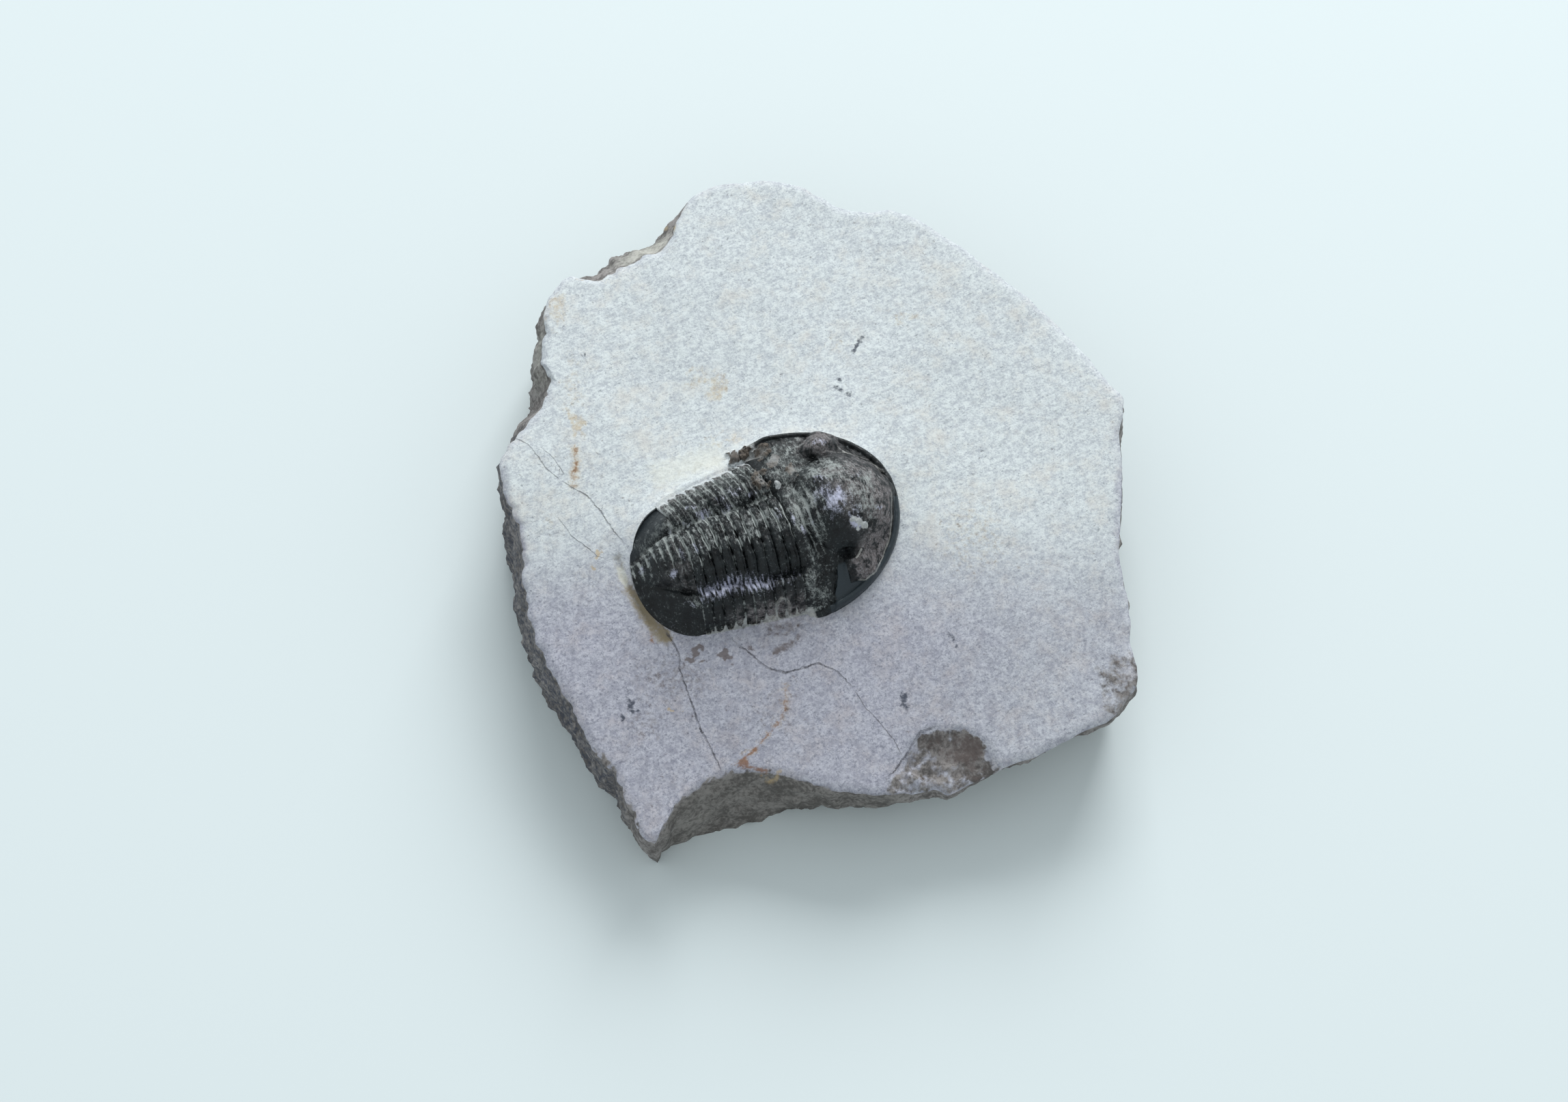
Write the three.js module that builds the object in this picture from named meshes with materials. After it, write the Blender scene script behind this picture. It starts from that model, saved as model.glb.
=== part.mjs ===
// A gerastos trilobite lying on its piece of limestone, in millimetres, +Z up.
// The origin is the middle of the footprint on the plane that the stone rests on.
// +Y runs along the long side of the stone, and the trilobite's head points to +X.
import * as THREE from "three";

// Stone: thickness at its crest, and how its two facets fall away from the crest line
const CREST_HEIGHT = 12.5;
const CREST_Y = -3.0;
const FAR_SLOPE = -0.04;
const NEAR_SLOPE = 0.155;
const CREST_SOFTNESS = 3.0;
const FOOTPRINT_SHIFT = { x: 0.44, y: -2.06 };

// Stone: relief of the face
const SWELL_HEIGHT = 0.22;
const SWELL_LENGTH = { x: 13, y: 17 };
const SWELL_PHASE = 1;
const RIM_ROUNDING = 0.45;
const RIM_INSET = 0.9;
const CHIP = { x: 11.5, y: -24.5, width: 5.2, length: 4.4, depth: 1.0, level: 0.55 };
const APRON = { height: 0.9, reach: 1.6, full: 6 };

// Stone: how finely it is faceted
const RIM_STEPS = 144;
const FACE_RINGS = [0, 0.07, 0.2, 0.42, 0.66, 0.86, 1];
const WALL_RINGS = [0.15, 0.4, 0.7];

// Rim of the face, clockwise from the far end: x, y, then how far the broken wall
// stands out from the rim at mid height and at the foot, negative where it is undercut
const RIM = [
  [-5.1, 34.8, -0.3, -1.0],
  [-1.9, 34.2, -0.3, -1.0],
  [0.2, 33.0, -0.3, -1.0],
  [2.3, 31.8, -0.3, -1.0],
  [4.6, 31.4, -0.4, -1.2],
  [7.1, 31.5, -0.4, -1.2],
  [9.2, 30.6, -0.4, -1.2],
  [13.0, 27.9, -0.3, -1.0],
  [15.9, 25.3, -0.3, -1.0],
  [20.0, 21.7, -0.3, -1.0],
  [24.0, 17.1, -0.4, -1.2],
  [27.2, 12.7, -0.5, -1.4],
  [28.4, 10.8, -0.5, -1.4],
  [27.9, 7.4, -0.4, -1.4],
  [28.0, 3.3, -0.4, -1.4],
  [27.5, -3.0, -0.4, -1.4],
  [27.5, -5.2, -0.4, -1.4],
  [28.2, -10.2, -0.5, -1.6],
  [28.2, -12.4, -0.6, -1.8],
  [28.8, -15.7, -0.8, -2.2],
  [27.9, -17.7, -1.0, -2.6],
  [26.2, -19.8, -1.3, -3.2],
  [23.8, -20.8, -1.6, -3.8],
  [19.8, -22.9, -1.8, -4.0],
  [15.9, -24.2, -1.7, -3.8],
  [13.3, -25.2, -1.5, -3.6],
  [11.6, -26.2, -1.3, -3.4],
  [10.2, -25.7, -1.0, -3.0],
  [7.6, -26.3, -0.8, -2.8],
  [4.4, -26.5, -0.5, -2.6],
  [0.8, -26.0, -0.1, -2.0],
  [-2.6, -25.0, 0.5, 0.2],
  [-6.2, -24.3, 1.0, 1.8],
  [-9.1, -25.0, 1.0, 2.0],
  [-11.3, -26.1, 0.8, 1.6],
  [-12.9, -27.5, 0.5, 0.6],
  [-13.9, -29.3, 0.1, -0.8],
  [-14.9, -30.8, 0.0, -1.6],
  [-16.1, -29.8, -0.2, -1.4],
  [-17.0, -27.9, 0.0, -0.8],
  [-18.6, -24.6, 0.1, -0.4],
  [-20.6, -22.6, 0.2, -0.2],
  [-22.7, -18.3, 0.3, 0.0],
  [-25.0, -14.2, 0.4, 0.3],
  [-26.2, -11.4, 0.5, 0.5],
  [-27.0, -7.6, 0.7, 0.8],
  [-27.5, -2.3, 1.0, 1.2],
  [-28.6, 0.4, 0.6, 0.8],
  [-29.5, 3.4, 0.1, -0.3],
  [-29.0, 6.3, 0.3, 0.0],
  [-27.0, 8.8, 1.9, 1.6],
  [-25.3, 12.1, 2.4, 2.0],
  [-25.4, 14.0, 2.0, 1.8],
  [-26.2, 15.2, 1.1, 1.2],
  [-25.9, 18.0, 1.1, 1.0],
  [-26.1, 20.9, 0.6, 0.5],
  [-25.2, 23.1, 0.6, 0.2],
  [-23.6, 24.3, 1.2, 0.4],
  [-21.4, 23.9, 2.6, 1.2],
  [-18.7, 25.2, 3.6, 1.8],
  [-16.6, 26.5, 3.4, 1.8],
  [-14.9, 26.9, 3.4, 1.8],
  [-14.0, 28.7, 2.6, 1.2],
  [-13.4, 30.9, 1.2, 0.2],
  [-12.0, 33.0, 0.2, -0.6],
  [-10.1, 34.2, -0.2, -0.9],
  [-7.6, 34.5, -0.3, -1.0],
];

// Trilobite: where its tail ends on the stone, which way it points, and its level
const TAIL = { x: -16.8, y: -7.7 };
const HEADING = THREE.MathUtils.degToRad(19.6);
const ROLL = THREE.MathUtils.degToRad(7);
const DATUM = 12.2;
const BODY_LENGTH = 25.6;
const SEAT_DEPTH = 2.2;
const SEAT_CLEARANCE = 0.1;
const SIDE_CLEARANCE = 0.3;
const POCKET_STEPS = 14;
const PYGIDIUM_TURN = 1.35;

// Trilobite: trunk
const SEGMENT_COUNT = 10;
const THORAX_START = 5.1;
const THORAX_END = 14.6;
const SEGMENT_GAP = 0.12;
const THORAX_HALF_WIDTH = { rear: 6.45, left: 8.1, right: 7.6 };
const THORAX_FLARE = { left: 0.55, right: 0.9 };
const AXIS_HALF_WIDTH = { tip: 1.2, rear: 2.9, front: 3.7 };
const RING_RELIEF = 0.28;
const AXIS_ROUNDNESS = 0.75;
const PLEURA = { arch: 0.35, archReach: 1.6, fall: 2.4 };
const SEGMENT_COLUMNS = 22;
const SEGMENT_STEPS = [0, 0.25, 0.55, 0.8, 1];
const SWEEP_BACK = { left: 1.9, right: 0.9, at: 9.2, power: 2.0 };

// Trilobite: tail shield
const PYGIDIUM_HALF_WIDTH = 6.3;
const PYGIDIUM_TIP = 1.0;
const PYGIDIUM_RINGS = 6;
const PYGIDIUM_RING_RELIEF = 0.14;
const PYGIDIUM_RIM = 3.4;
const PYGIDIUM_BLUNTNESS = 0.15;
const PYGIDIUM_COLUMNS = 26;
const PYGIDIUM_STEPS = [0, 0.06, 0.14, 0.24, 0.36, 0.5, 0.64, 0.76, 0.88, 1];

// Trilobite: head shield
const HEAD_CENTRE = 14.6;
const HEAD_LENGTH = 10.95;
const HEAD_REACH = { left: 9.4, right: 8.3 };
const HEAD_TIP = 1.2;
const BORDER_WIDTH = 1.1;
const BORDER_TOP = 1.3;
const BORDER_EDGE = 0.4;
const CHEEK = { top: 4.1, sink: 0.4, reach: 0.9, fall: 2.2 };
const MOUND_ROUNDNESS = 0.6;
const GLABELLA = { u: 20.4, v: 0.35, halfLength: 4.6, halfWidth: 4.35, rise: 3.0 };
const OCCIPITAL = { u: 15.3, v: 0.1, halfLength: 0.75, halfWidth: 3.9, rise: 1.1 };
const LEFT_EYE = { u: 19.9, v: 6.4, halfLength: 1.8, halfWidth: 1.25, rise: 1.7 };
const RIGHT_EYE = { u: 19.8, v: -5.3, halfLength: 1.8, halfWidth: 1.25, rise: 1.7 };
const HEAD_BLUNTNESS = 0.998;
const HEAD_COLUMNS = 40;
const HEAD_STEPS = [
  0, 0.04, 0.09, 0.15, 0.22, 0.3, 0.38, 0.46, 0.54,
  0.62, 0.7, 0.78, 0.85, 0.91, 0.955, 0.98, 1,
];

// Heights above the datum along the body, as distance from the tail and height
const AXIS_CREST = [[0, 0.5], [1.0, 1.7], [2.6, 3.1], [5.1, 4.0], [9, 4.6], [12, 4.8], [16, 4.9]];
const AXIS_FURROW = [[0, 0.3], [1.0, 0.9], [2.6, 1.7], [5.1, 2.4], [9, 2.8], [12, 3.0], [16, 3.0]];
const SIDE_EDGE = [[0, -0.2], [3, -0.2], [6, -0.1], [10, 0.0], [14, 0.1], [16, 0.1]];

// Smooth curve through [position, value] stations, with tangents from the neighbours
function along(stations, position) {
  const last = stations.length - 1;
  const x = THREE.MathUtils.clamp(position, stations[0][0], stations[last][0]);
  let i = 0;
  while (i < last - 1 && x > stations[i + 1][0]) i += 1;
  const tangent = (k) => {
    const a = stations[Math.max(k - 1, 0)];
    const b = stations[Math.min(k + 1, last)];
    return (b[1] - a[1]) / (b[0] - a[0]);
  };
  const span = stations[i + 1][0] - stations[i][0];
  const t = (x - stations[i][0]) / span;
  const h00 = (1 + 2 * t) * (1 - t) ** 2;
  const h10 = t * (1 - t) ** 2;
  const h01 = t * t * (3 - 2 * t);
  const h11 = t * t * (t - 1);
  const ends = h00 * stations[i][1] + h01 * stations[i + 1][1];
  return ends + span * (h10 * tangent(i) + h11 * tangent(i + 1));
}

// From the trilobite's lengthwise u and sideways v, positive to its left, to the stone's x and y
function toStone(u, v) {
  return [
    TAIL.x + u * Math.cos(HEADING) - v * Math.sin(HEADING),
    TAIL.y + u * Math.sin(HEADING) + v * Math.cos(HEADING),
  ];
}

function toBody(x, y) {
  const dx = x - TAIL.x;
  const dy = y - TAIL.y;
  return [
    dx * Math.cos(HEADING) + dy * Math.sin(HEADING),
    dy * Math.cos(HEADING) - dx * Math.sin(HEADING),
  ];
}

// Closed mesh from vertices and triangles, moved so that the footprint is centred
function solid(points, triangles) {
  const moved = points.flatMap(([x, y, z]) => [x + FOOTPRINT_SHIFT.x, y + FOOTPRINT_SHIFT.y, z]);
  const geometry = new THREE.BufferGeometry();
  geometry.setAttribute("position", new THREE.Float32BufferAttribute(moved, 3));
  geometry.setIndex(triangles.flat());
  geometry.computeVertexNormals();
  return geometry;
}

// Solid skinned over closed rings, from a first point inside the first ring to a last point
function ringSolid(first, rings, last) {
  const count = rings[0].length;
  const points = [first, ...rings.flat(), last];
  const at = (ring, step) => 1 + ring * count + (step % count);
  const triangles = [];
  for (let step = 0; step < count; step += 1) {
    triangles.push([0, at(0, step + 1), at(0, step)]);
    for (let ring = 0; ring < rings.length - 1; ring += 1) {
      triangles.push([at(ring, step), at(ring + 1, step + 1), at(ring + 1, step)]);
      triangles.push([at(ring, step), at(ring, step + 1), at(ring + 1, step + 1)]);
    }
    const end = rings.length - 1;
    triangles.push([at(end, step), at(end, step + 1), points.length - 1]);
  }
  return solid(points, triangles);
}

// Solid under a grid of surface points: grid[across][along], with upright sides and a flat underside
function slab(grid, floor) {
  const across = grid.length;
  const steps = grid[0].length;
  const top = (i, j) => i * steps + j;
  const rear = (i) => across * steps + 2 * i;
  const front = (i) => rear(i) + 1;
  const points = grid.flat();
  for (const row of grid) {
    points.push([row[0][0], row[0][1], floor]);
    points.push([row[steps - 1][0], row[steps - 1][1], floor]);
  }
  const triangles = [];
  for (let i = 0; i < across - 1; i += 1) {
    for (let j = 0; j < steps - 1; j += 1) {
      triangles.push([top(i, j), top(i, j + 1), top(i + 1, j + 1)]);
      triangles.push([top(i, j), top(i + 1, j + 1), top(i + 1, j)]);
    }
    const next = i + 1;
    triangles.push([rear(i), top(i, 0), top(next, 0)], [rear(i), top(next, 0), rear(next)]);
    triangles.push([front(i), top(next, steps - 1), top(i, steps - 1)]);
    triangles.push([front(i), front(next), top(next, steps - 1)]);
    triangles.push([rear(i), rear(next), front(next)], [rear(i), front(next), front(i)]);
  }
  const end = across - 1;
  for (let j = 0; j < steps - 1; j += 1) {
    triangles.push([rear(0), top(0, j + 1), top(0, j)]);
    triangles.push([rear(end), top(end, j), top(end, j + 1)]);
  }
  triangles.push([rear(0), front(0), top(0, steps - 1)]);
  triangles.push([rear(end), top(end, steps - 1), front(end)]);
  return solid(points, triangles);
}

// Grid of surface points over a plate from its right to its left side, between its margins
function plate({ left, right, across, steps, rearMargin, frontMargin, height }) {
  const grid = [];
  for (let i = 0; i <= across; i += 1) {
    const v = (left - right) / 2 + ((left + right) / 2) * Math.sin((i / across - 0.5) * Math.PI);
    const row = [];
    for (const s of steps) {
      const u = rearMargin(v) + s * (frontMargin(v) - rearMargin(v));
      const w = height(u, v, s);
      const [x, y] = toStone(u, v * Math.cos(ROLL) - w * Math.sin(ROLL));
      row.push([x, y, DATUM + v * Math.sin(ROLL) + w * Math.cos(ROLL)]);
    }
    grid.push(row);
  }
  return slab(grid, DATUM - SEAT_DEPTH + SEAT_CLEARANCE);
}

// How far a margin sweeps back from its place on the axis
function sweepBack(v) {
  const reach = v > 0 ? SWEEP_BACK.left : SWEEP_BACK.right;
  return reach * (Math.abs(v) / SWEEP_BACK.at) ** SWEEP_BACK.power;
}

function axisHalfWidth(u) {
  const tail = THREE.MathUtils.smoothstep(u, 0, THORAX_START);
  const trunk = THREE.MathUtils.clamp((u - THORAX_START) / (THORAX_END - THORAX_START), 0, 1);
  const rear = THREE.MathUtils.lerp(AXIS_HALF_WIDTH.tip, AXIS_HALF_WIDTH.rear, tail);
  return rear + (AXIS_HALF_WIDTH.front - AXIS_HALF_WIDTH.rear) * trunk;
}

// Section of trunk and tail: an arched axis between two furrows, then pleurae that turn down
function bodyHeight(u, v, halfWidth) {
  const crest = along(AXIS_CREST, u);
  const furrow = along(AXIS_FURROW, u);
  const edge = along(SIDE_EDGE, u);
  const axis = axisHalfWidth(u);
  const side = Math.abs(v);
  if (side < axis) return furrow + (crest - furrow) * (1 - (side / axis) ** 2) ** AXIS_ROUNDNESS;
  const t = Math.min((side - axis) / (halfWidth - axis), 1);
  const arch = PLEURA.arch * Math.sin(Math.PI * Math.min(PLEURA.archReach * t, 1));
  return furrow + arch - (furrow - edge) * t ** PLEURA.fall;
}

// Reach of the trunk from its axis at u, to its left or its right
function thoraxHalfWidth(u, side) {
  const forward = THREE.MathUtils.clamp((u - THORAX_START) / (THORAX_END - THORAX_START), 0, 1);
  const front = THORAX_HALF_WIDTH[side];
  return THORAX_HALF_WIDTH.rear + (front - THORAX_HALF_WIDTH.rear) * forward ** THORAX_FLARE[side];
}

function thoraxSegment(index) {
  const pitch = (THORAX_END - THORAX_START) / SEGMENT_COUNT;
  const rear = THORAX_START + pitch * (SEGMENT_COUNT - 1 - index);
  const left = thoraxHalfWidth(rear, "left");
  const right = thoraxHalfWidth(rear, "right");
  return plate({
    left,
    right,
    across: SEGMENT_COLUMNS,
    steps: SEGMENT_STEPS,
    rearMargin: (v) => rear + SEGMENT_GAP / 2 - sweepBack(v),
    frontMargin: (v) => rear + pitch - SEGMENT_GAP / 2 - sweepBack(v),
    height: (u, v, s) => bodyHeight(u, v, v > 0 ? left : right) + RING_RELIEF * Math.sin(Math.PI * s),
  });
}

function pygidium() {
  const ringPitch = (THORAX_START - PYGIDIUM_TIP) / PYGIDIUM_RINGS;
  const reachAcross = PYGIDIUM_HALF_WIDTH + PYGIDIUM_BLUNTNESS;
  const rearMargin = (v) => THORAX_START * (1 - Math.sqrt(1 - (v / reachAcross) ** 2));
  const height = (u, v) => {
    const reach = rearMargin(v);
    const rim = THREE.MathUtils.smoothstep(u - reach, 0, PYGIDIUM_RIM);
    const edge = along(SIDE_EDGE, u);
    const wave = Math.sin((Math.PI * (u - PYGIDIUM_TIP)) / ringPitch) ** 2;
    const ringed = Math.abs(v) < axisHalfWidth(u) ? wave : 0;
    const full = bodyHeight(u, v, PYGIDIUM_HALF_WIDTH) + PYGIDIUM_RING_RELIEF * ringed;
    return edge + (full - edge) * Math.sqrt(rim);
  };
  return plate({
    left: PYGIDIUM_HALF_WIDTH,
    right: PYGIDIUM_HALF_WIDTH,
    across: PYGIDIUM_COLUMNS,
    steps: PYGIDIUM_STEPS,
    rearMargin,
    frontMargin: (v) => THORAX_START - SEGMENT_GAP / 2 - sweepBack(v),
    height,
  });
}

// A smooth mound of height 1 in the middle and 0 outside its half length and half width
function mound(u, v, { u: cu, v: cv, halfLength, halfWidth }) {
  const inside = 1 - ((u - cu) / halfLength) ** 2 - ((v - cv) / halfWidth) ** 2;
  return Math.max(inside, 0) ** MOUND_ROUNDNESS;
}

// Sideways place in the head's outline: 0 at its tip, 1 at its left and its right side
function headSide(v) {
  const toLeft = (v - HEAD_TIP) / (HEAD_REACH.left - HEAD_TIP);
  const toRight = (HEAD_TIP - v) / (HEAD_REACH.right + HEAD_TIP);
  return Math.max(toLeft, toRight);
}

function headHeight(u, v) {
  const reach = Math.hypot((u - HEAD_CENTRE) / HEAD_LENGTH, headSide(v));
  const inward = (1 - reach) * (HEAD_REACH.left + HEAD_REACH.right) / 2;
  const swell = 1 - Math.min(reach / CHEEK.reach, 1) ** CHEEK.fall;
  const cheek = BORDER_TOP - CHEEK.sink + (CHEEK.top - BORDER_TOP) * swell;
  const across = (2 * inward) / BORDER_WIDTH - 1;
  const roll = Math.sqrt(Math.max(1 - across ** 2, 0));
  const border = BORDER_EDGE + (BORDER_TOP - BORDER_EDGE) * roll;
  const base = inward < BORDER_WIDTH / 2 ? border : Math.max(border * (inward < BORDER_WIDTH), cheek);
  const glabella = GLABELLA.rise * mound(u, v, GLABELLA);
  const ring = OCCIPITAL.rise * mound(u, v, OCCIPITAL);
  const eyes = LEFT_EYE.rise * mound(u, v, LEFT_EYE) + RIGHT_EYE.rise * mound(u, v, RIGHT_EYE);
  return base + Math.max(glabella, ring) + eyes;
}

function cephalon() {
  return plate({
    left: HEAD_REACH.left,
    right: HEAD_REACH.right,
    across: HEAD_COLUMNS,
    steps: HEAD_STEPS,
    rearMargin: (v) => THORAX_END + SEGMENT_GAP / 2 - sweepBack(v),
    frontMargin: (v) => HEAD_CENTRE + HEAD_LENGTH * Math.sqrt(1 - (HEAD_BLUNTNESS * headSide(v)) ** 2),
    height: headHeight,
  });
}

// One side of the seat's outline, tail to head: the body outline set out by the side clearance
function pocketSide(side) {
  const gap = SIDE_CLEARANCE;
  const sign = side === "left" ? 1 : -1;
  const points = [];
  for (let i = 0; i <= POCKET_STEPS; i += 1) {
    const turn = (i / POCKET_STEPS) * PYGIDIUM_TURN;
    const across = (PYGIDIUM_HALF_WIDTH + gap) * Math.sin(turn);
    points.push([THORAX_START - (THORAX_START + gap) * Math.cos(turn), sign * across]);
  }
  const swept = sweepBack(sign * THORAX_HALF_WIDTH[side]);
  const corner = THORAX_END - sweepBack(sign * HEAD_REACH[side]) - gap;
  const neck = corner - 2 * gap;
  for (let i = 0; i <= POCKET_STEPS; i += 1) {
    const u = THREE.MathUtils.lerp(THORAX_START, neck, i / POCKET_STEPS);
    points.push([u, sign * (thoraxHalfWidth(u + swept, side) + gap)]);
  }
  points.push([corner, sign * (HEAD_REACH[side] + gap)]);
  for (let i = 0; i < POCKET_STEPS; i += 1) {
    const turn = (1 - i / POCKET_STEPS) * (Math.PI / 2);
    const across = (HEAD_REACH[side] - sign * HEAD_TIP + gap) * Math.sin(turn);
    points.push([HEAD_CENTRE + (HEAD_LENGTH + gap) * Math.cos(turn), HEAD_TIP + sign * across]);
  }
  return points;
}

function pocketOutline() {
  const tip = [HEAD_CENTRE + HEAD_LENGTH + SIDE_CLEARANCE, HEAD_TIP];
  return [...pocketSide("left"), tip, ...pocketSide("right").slice(1)];
}

// Reach of a star-shaped outline from its centre, in any direction
function reachOf(outline, [cu, cv]) {
  const polar = outline.map(([u, v]) => [Math.atan2(v - cv, u - cu), Math.hypot(u - cu, v - cv)]);
  polar.sort((a, b) => a[0] - b[0]);
  const turn = 2 * Math.PI;
  const first = polar[0];
  const last = polar[polar.length - 1];
  const wrapped = [[last[0] - turn, last[1]], ...polar, [first[0] + turn, first[1]]];
  return (angle) => {
    let i = 0;
    while (wrapped[i + 1][0] < angle) i += 1;
    const [a, ra] = wrapped[i];
    const [b, rb] = wrapped[i + 1];
    return ra + ((rb - ra) * (angle - a)) / (b - a);
  };
}

// Points evenly spaced along a closed smooth curve through rows of values
function closedCurve(rows, count) {
  const dense = [];
  const inner = 12;
  const size = rows.length;
  for (let i = 0; i < size; i += 1) {
    const [p0, p1, p2, p3] = [-1, 0, 1, 2].map((k) => rows[(i + k + size) % size]);
    for (let j = 0; j < inner; j += 1) {
      const t = j / inner;
      dense.push(p1.map((b, c) => {
        const bend = 2 * p0[c] - 5 * b + 4 * p2[c] - p3[c];
        const twist = 3 * b - p0[c] - 3 * p2[c] + p3[c];
        return b + 0.5 * t * (p2[c] - p0[c] + t * (bend + t * twist));
      }));
    }
  }
  const gone = [0];
  for (let i = 1; i <= dense.length; i += 1) {
    const a = dense[i - 1];
    const b = dense[i % dense.length];
    gone.push(gone[i - 1] + Math.hypot(b[0] - a[0], b[1] - a[1]));
  }
  const even = [];
  let i = 0;
  for (let k = 0; k < count; k += 1) {
    const distance = (gone[dense.length] * k) / count;
    while (gone[i + 1] <= distance) i += 1;
    const t = (distance - gone[i]) / (gone[i + 1] - gone[i]);
    const next = dense[(i + 1) % dense.length];
    even.push(dense[i].map((a, c) => a + t * (next[c] - a)));
  }
  return even;
}

// Height of the stone's face: two facets that meet in a soft crest, a low swell and a broken corner
function faceHeight(x, y) {
  const d = y - CREST_Y;
  const bend = CREST_SOFTNESS * Math.log(1 + Math.exp(-d / CREST_SOFTNESS));
  const facets = CREST_HEIGHT + FAR_SLOPE * d - (NEAR_SLOPE - FAR_SLOPE) * bend;
  const ripple = Math.sin((x / SWELL_LENGTH.x) * Math.PI + SWELL_PHASE);
  const swell = SWELL_HEIGHT * ripple * Math.sin((y / SWELL_LENGTH.y) * Math.PI);
  const chip = Math.hypot((x - CHIP.x) / CHIP.width, (y - CHIP.y) / CHIP.length);
  return facets + swell - CHIP.depth * (1 - THREE.MathUtils.smoothstep(chip, CHIP.level, 1));
}

function limestoneMatrix() {
  const seatCentre = [BODY_LENGTH / 2, 0];
  const [cx, cy] = toStone(...seatCentre);
  const pocketReach = reachOf(pocketOutline(), seatCentre);
  const rim = closedCurve(RIM, RIM_STEPS);
  const floor = DATUM - SEAT_DEPTH;
  const pocket = rim.map(([x, y]) => {
    const [u, v] = toBody(x, y);
    const angle = Math.atan2(v, u - seatCentre[0]);
    const reach = pocketReach(angle);
    return toStone(seatCentre[0] + reach * Math.cos(angle), reach * Math.sin(angle));
  });
  const rings = [pocket.map(([x, y]) => [x, y, floor])];
  for (const s of FACE_RINGS) {
    rings.push(rim.map(([x, y], i) => {
      const reach = Math.hypot(x - pocket[i][0], y - pocket[i][1]);
      const share = s * (1 - RIM_INSET / reach);
      const px = pocket[i][0] + share * (x - pocket[i][0]);
      const py = pocket[i][1] + share * (y - pocket[i][1]);
      const [, v] = toBody(px, py);
      const banked = THREE.MathUtils.smoothstep(v, 0, APRON.full);
      const apron = APRON.height * banked * Math.exp((-share * reach) / APRON.reach);
      return [px, py, faceHeight(px, py) + apron];
    }));
  }
  rings.push(rim.map(([x, y]) => [x, y, faceHeight(x, y) - RIM_ROUNDING]));
  const outward = rim.map(([x, y], i) => {
    const before = rim[(i + RIM_STEPS - 1) % RIM_STEPS];
    const after = rim[(i + 1) % RIM_STEPS];
    const length = Math.hypot(after[0] - before[0], after[1] - before[1]);
    return [(before[1] - after[1]) / length, (after[0] - before[0]) / length];
  });
  const edge = rings[rings.length - 1];
  for (const s of [...WALL_RINGS, 1]) {
    rings.push(rim.map(([x, y, mid, foot], i) => {
      const out = 4 * s * (1 - s) * (mid - foot / 2) + s * foot;
      return [x + out * outward[i][0], y + out * outward[i][1], (1 - s) * edge[i][2]];
    }));
  }
  return ringSolid([cx, cy, floor], rings, [cx, cy, 0]);
}

function limestoneMaterial() {
  return new THREE.MeshStandardMaterial({ color: 0xb7b9bb, roughness: 0.95, metalness: 0 });
}

function shellMaterial() {
  return new THREE.MeshStandardMaterial({ color: 0x24282b, roughness: 0.35, metalness: 0 });
}

function piece(name, geometry, material) {
  const mesh = new THREE.Mesh(geometry, material);
  mesh.name = name;
  return mesh;
}

const group = new THREE.Group();
group.add(piece("limestone_matrix", limestoneMatrix(), limestoneMaterial()));
group.add(piece("cephalon", cephalon(), shellMaterial()));
for (let index = 0; index < SEGMENT_COUNT; index += 1) {
  const number = String(index + 1).padStart(2, "0");
  group.add(piece(`thorax_segment_${number}`, thoraxSegment(index), shellMaterial()));
}
group.add(piece("pygidium", pygidium(), shellMaterial()));

export default group;
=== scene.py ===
"""Gerastos trilobite in its piece of limestone, laid out as an add-on and run as a script.

Lengths are millimetres here and become metres as a mesh is made. On the trilobite, u runs
from its tail to its head, v to its left and w up from its datum.
"""

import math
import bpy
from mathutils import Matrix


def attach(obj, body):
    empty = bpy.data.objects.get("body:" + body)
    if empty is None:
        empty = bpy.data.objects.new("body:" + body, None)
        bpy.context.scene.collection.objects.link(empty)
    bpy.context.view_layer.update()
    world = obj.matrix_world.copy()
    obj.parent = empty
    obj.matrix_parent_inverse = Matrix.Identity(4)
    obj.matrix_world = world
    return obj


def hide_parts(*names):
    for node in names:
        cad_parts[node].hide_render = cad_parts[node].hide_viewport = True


bl_info = {
    "name": "Gerastos trilobite",
    "version": (1, 0, 0),
    "blender": (4, 5, 0),
    "location": "3D View > Sidebar > Trilobite",
    "description": "Builds a fossil trilobite and the limestone that holds it",
    "category": "Add Mesh",
}

from types import SimpleNamespace

import bpy
import numpy as np

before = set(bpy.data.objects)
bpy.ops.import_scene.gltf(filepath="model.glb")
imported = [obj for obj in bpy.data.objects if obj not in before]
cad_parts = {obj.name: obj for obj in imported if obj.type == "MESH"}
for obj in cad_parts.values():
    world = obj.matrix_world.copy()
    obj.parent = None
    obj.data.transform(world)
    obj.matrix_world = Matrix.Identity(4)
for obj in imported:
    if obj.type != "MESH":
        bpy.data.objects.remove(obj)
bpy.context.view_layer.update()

MM = 0.001
BODY = "root"

# Stone: its two facets and their soft crest, as in the CAD part
CREST_HEIGHT = 12.5
CREST_Y = -3.0
FAR_SLOPE = -0.04
NEAR_SLOPE = 0.155
CREST_SOFTNESS = 3.0

# Stone: its shift to the origin, low swell, rounded rim, chip, and the rise beside the trilobite
FOOTPRINT_SHIFT = (0.44, -2.06)
SWELL_HEIGHT = 0.22
SWELL_LENGTH = (13.0, 17.0)
SWELL_PHASE = 1.0
RIM_ROUNDING = 0.3
RIM_INSET = 0.9
CHIP = {"x": 11.5, "y": -24.5, "width": 5.2, "length": 4.4, "depth": 1.0, "level": 0.55}
APRON = {"height": 0.9, "reach": 1.6, "full": 6.0, "spread": 0.24, "samples": 9}

# How far the stone laps over the plates' edges, and how far these lie below it
STONE_LAP = 0.18
EDGE_SINK = 0.03

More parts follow.
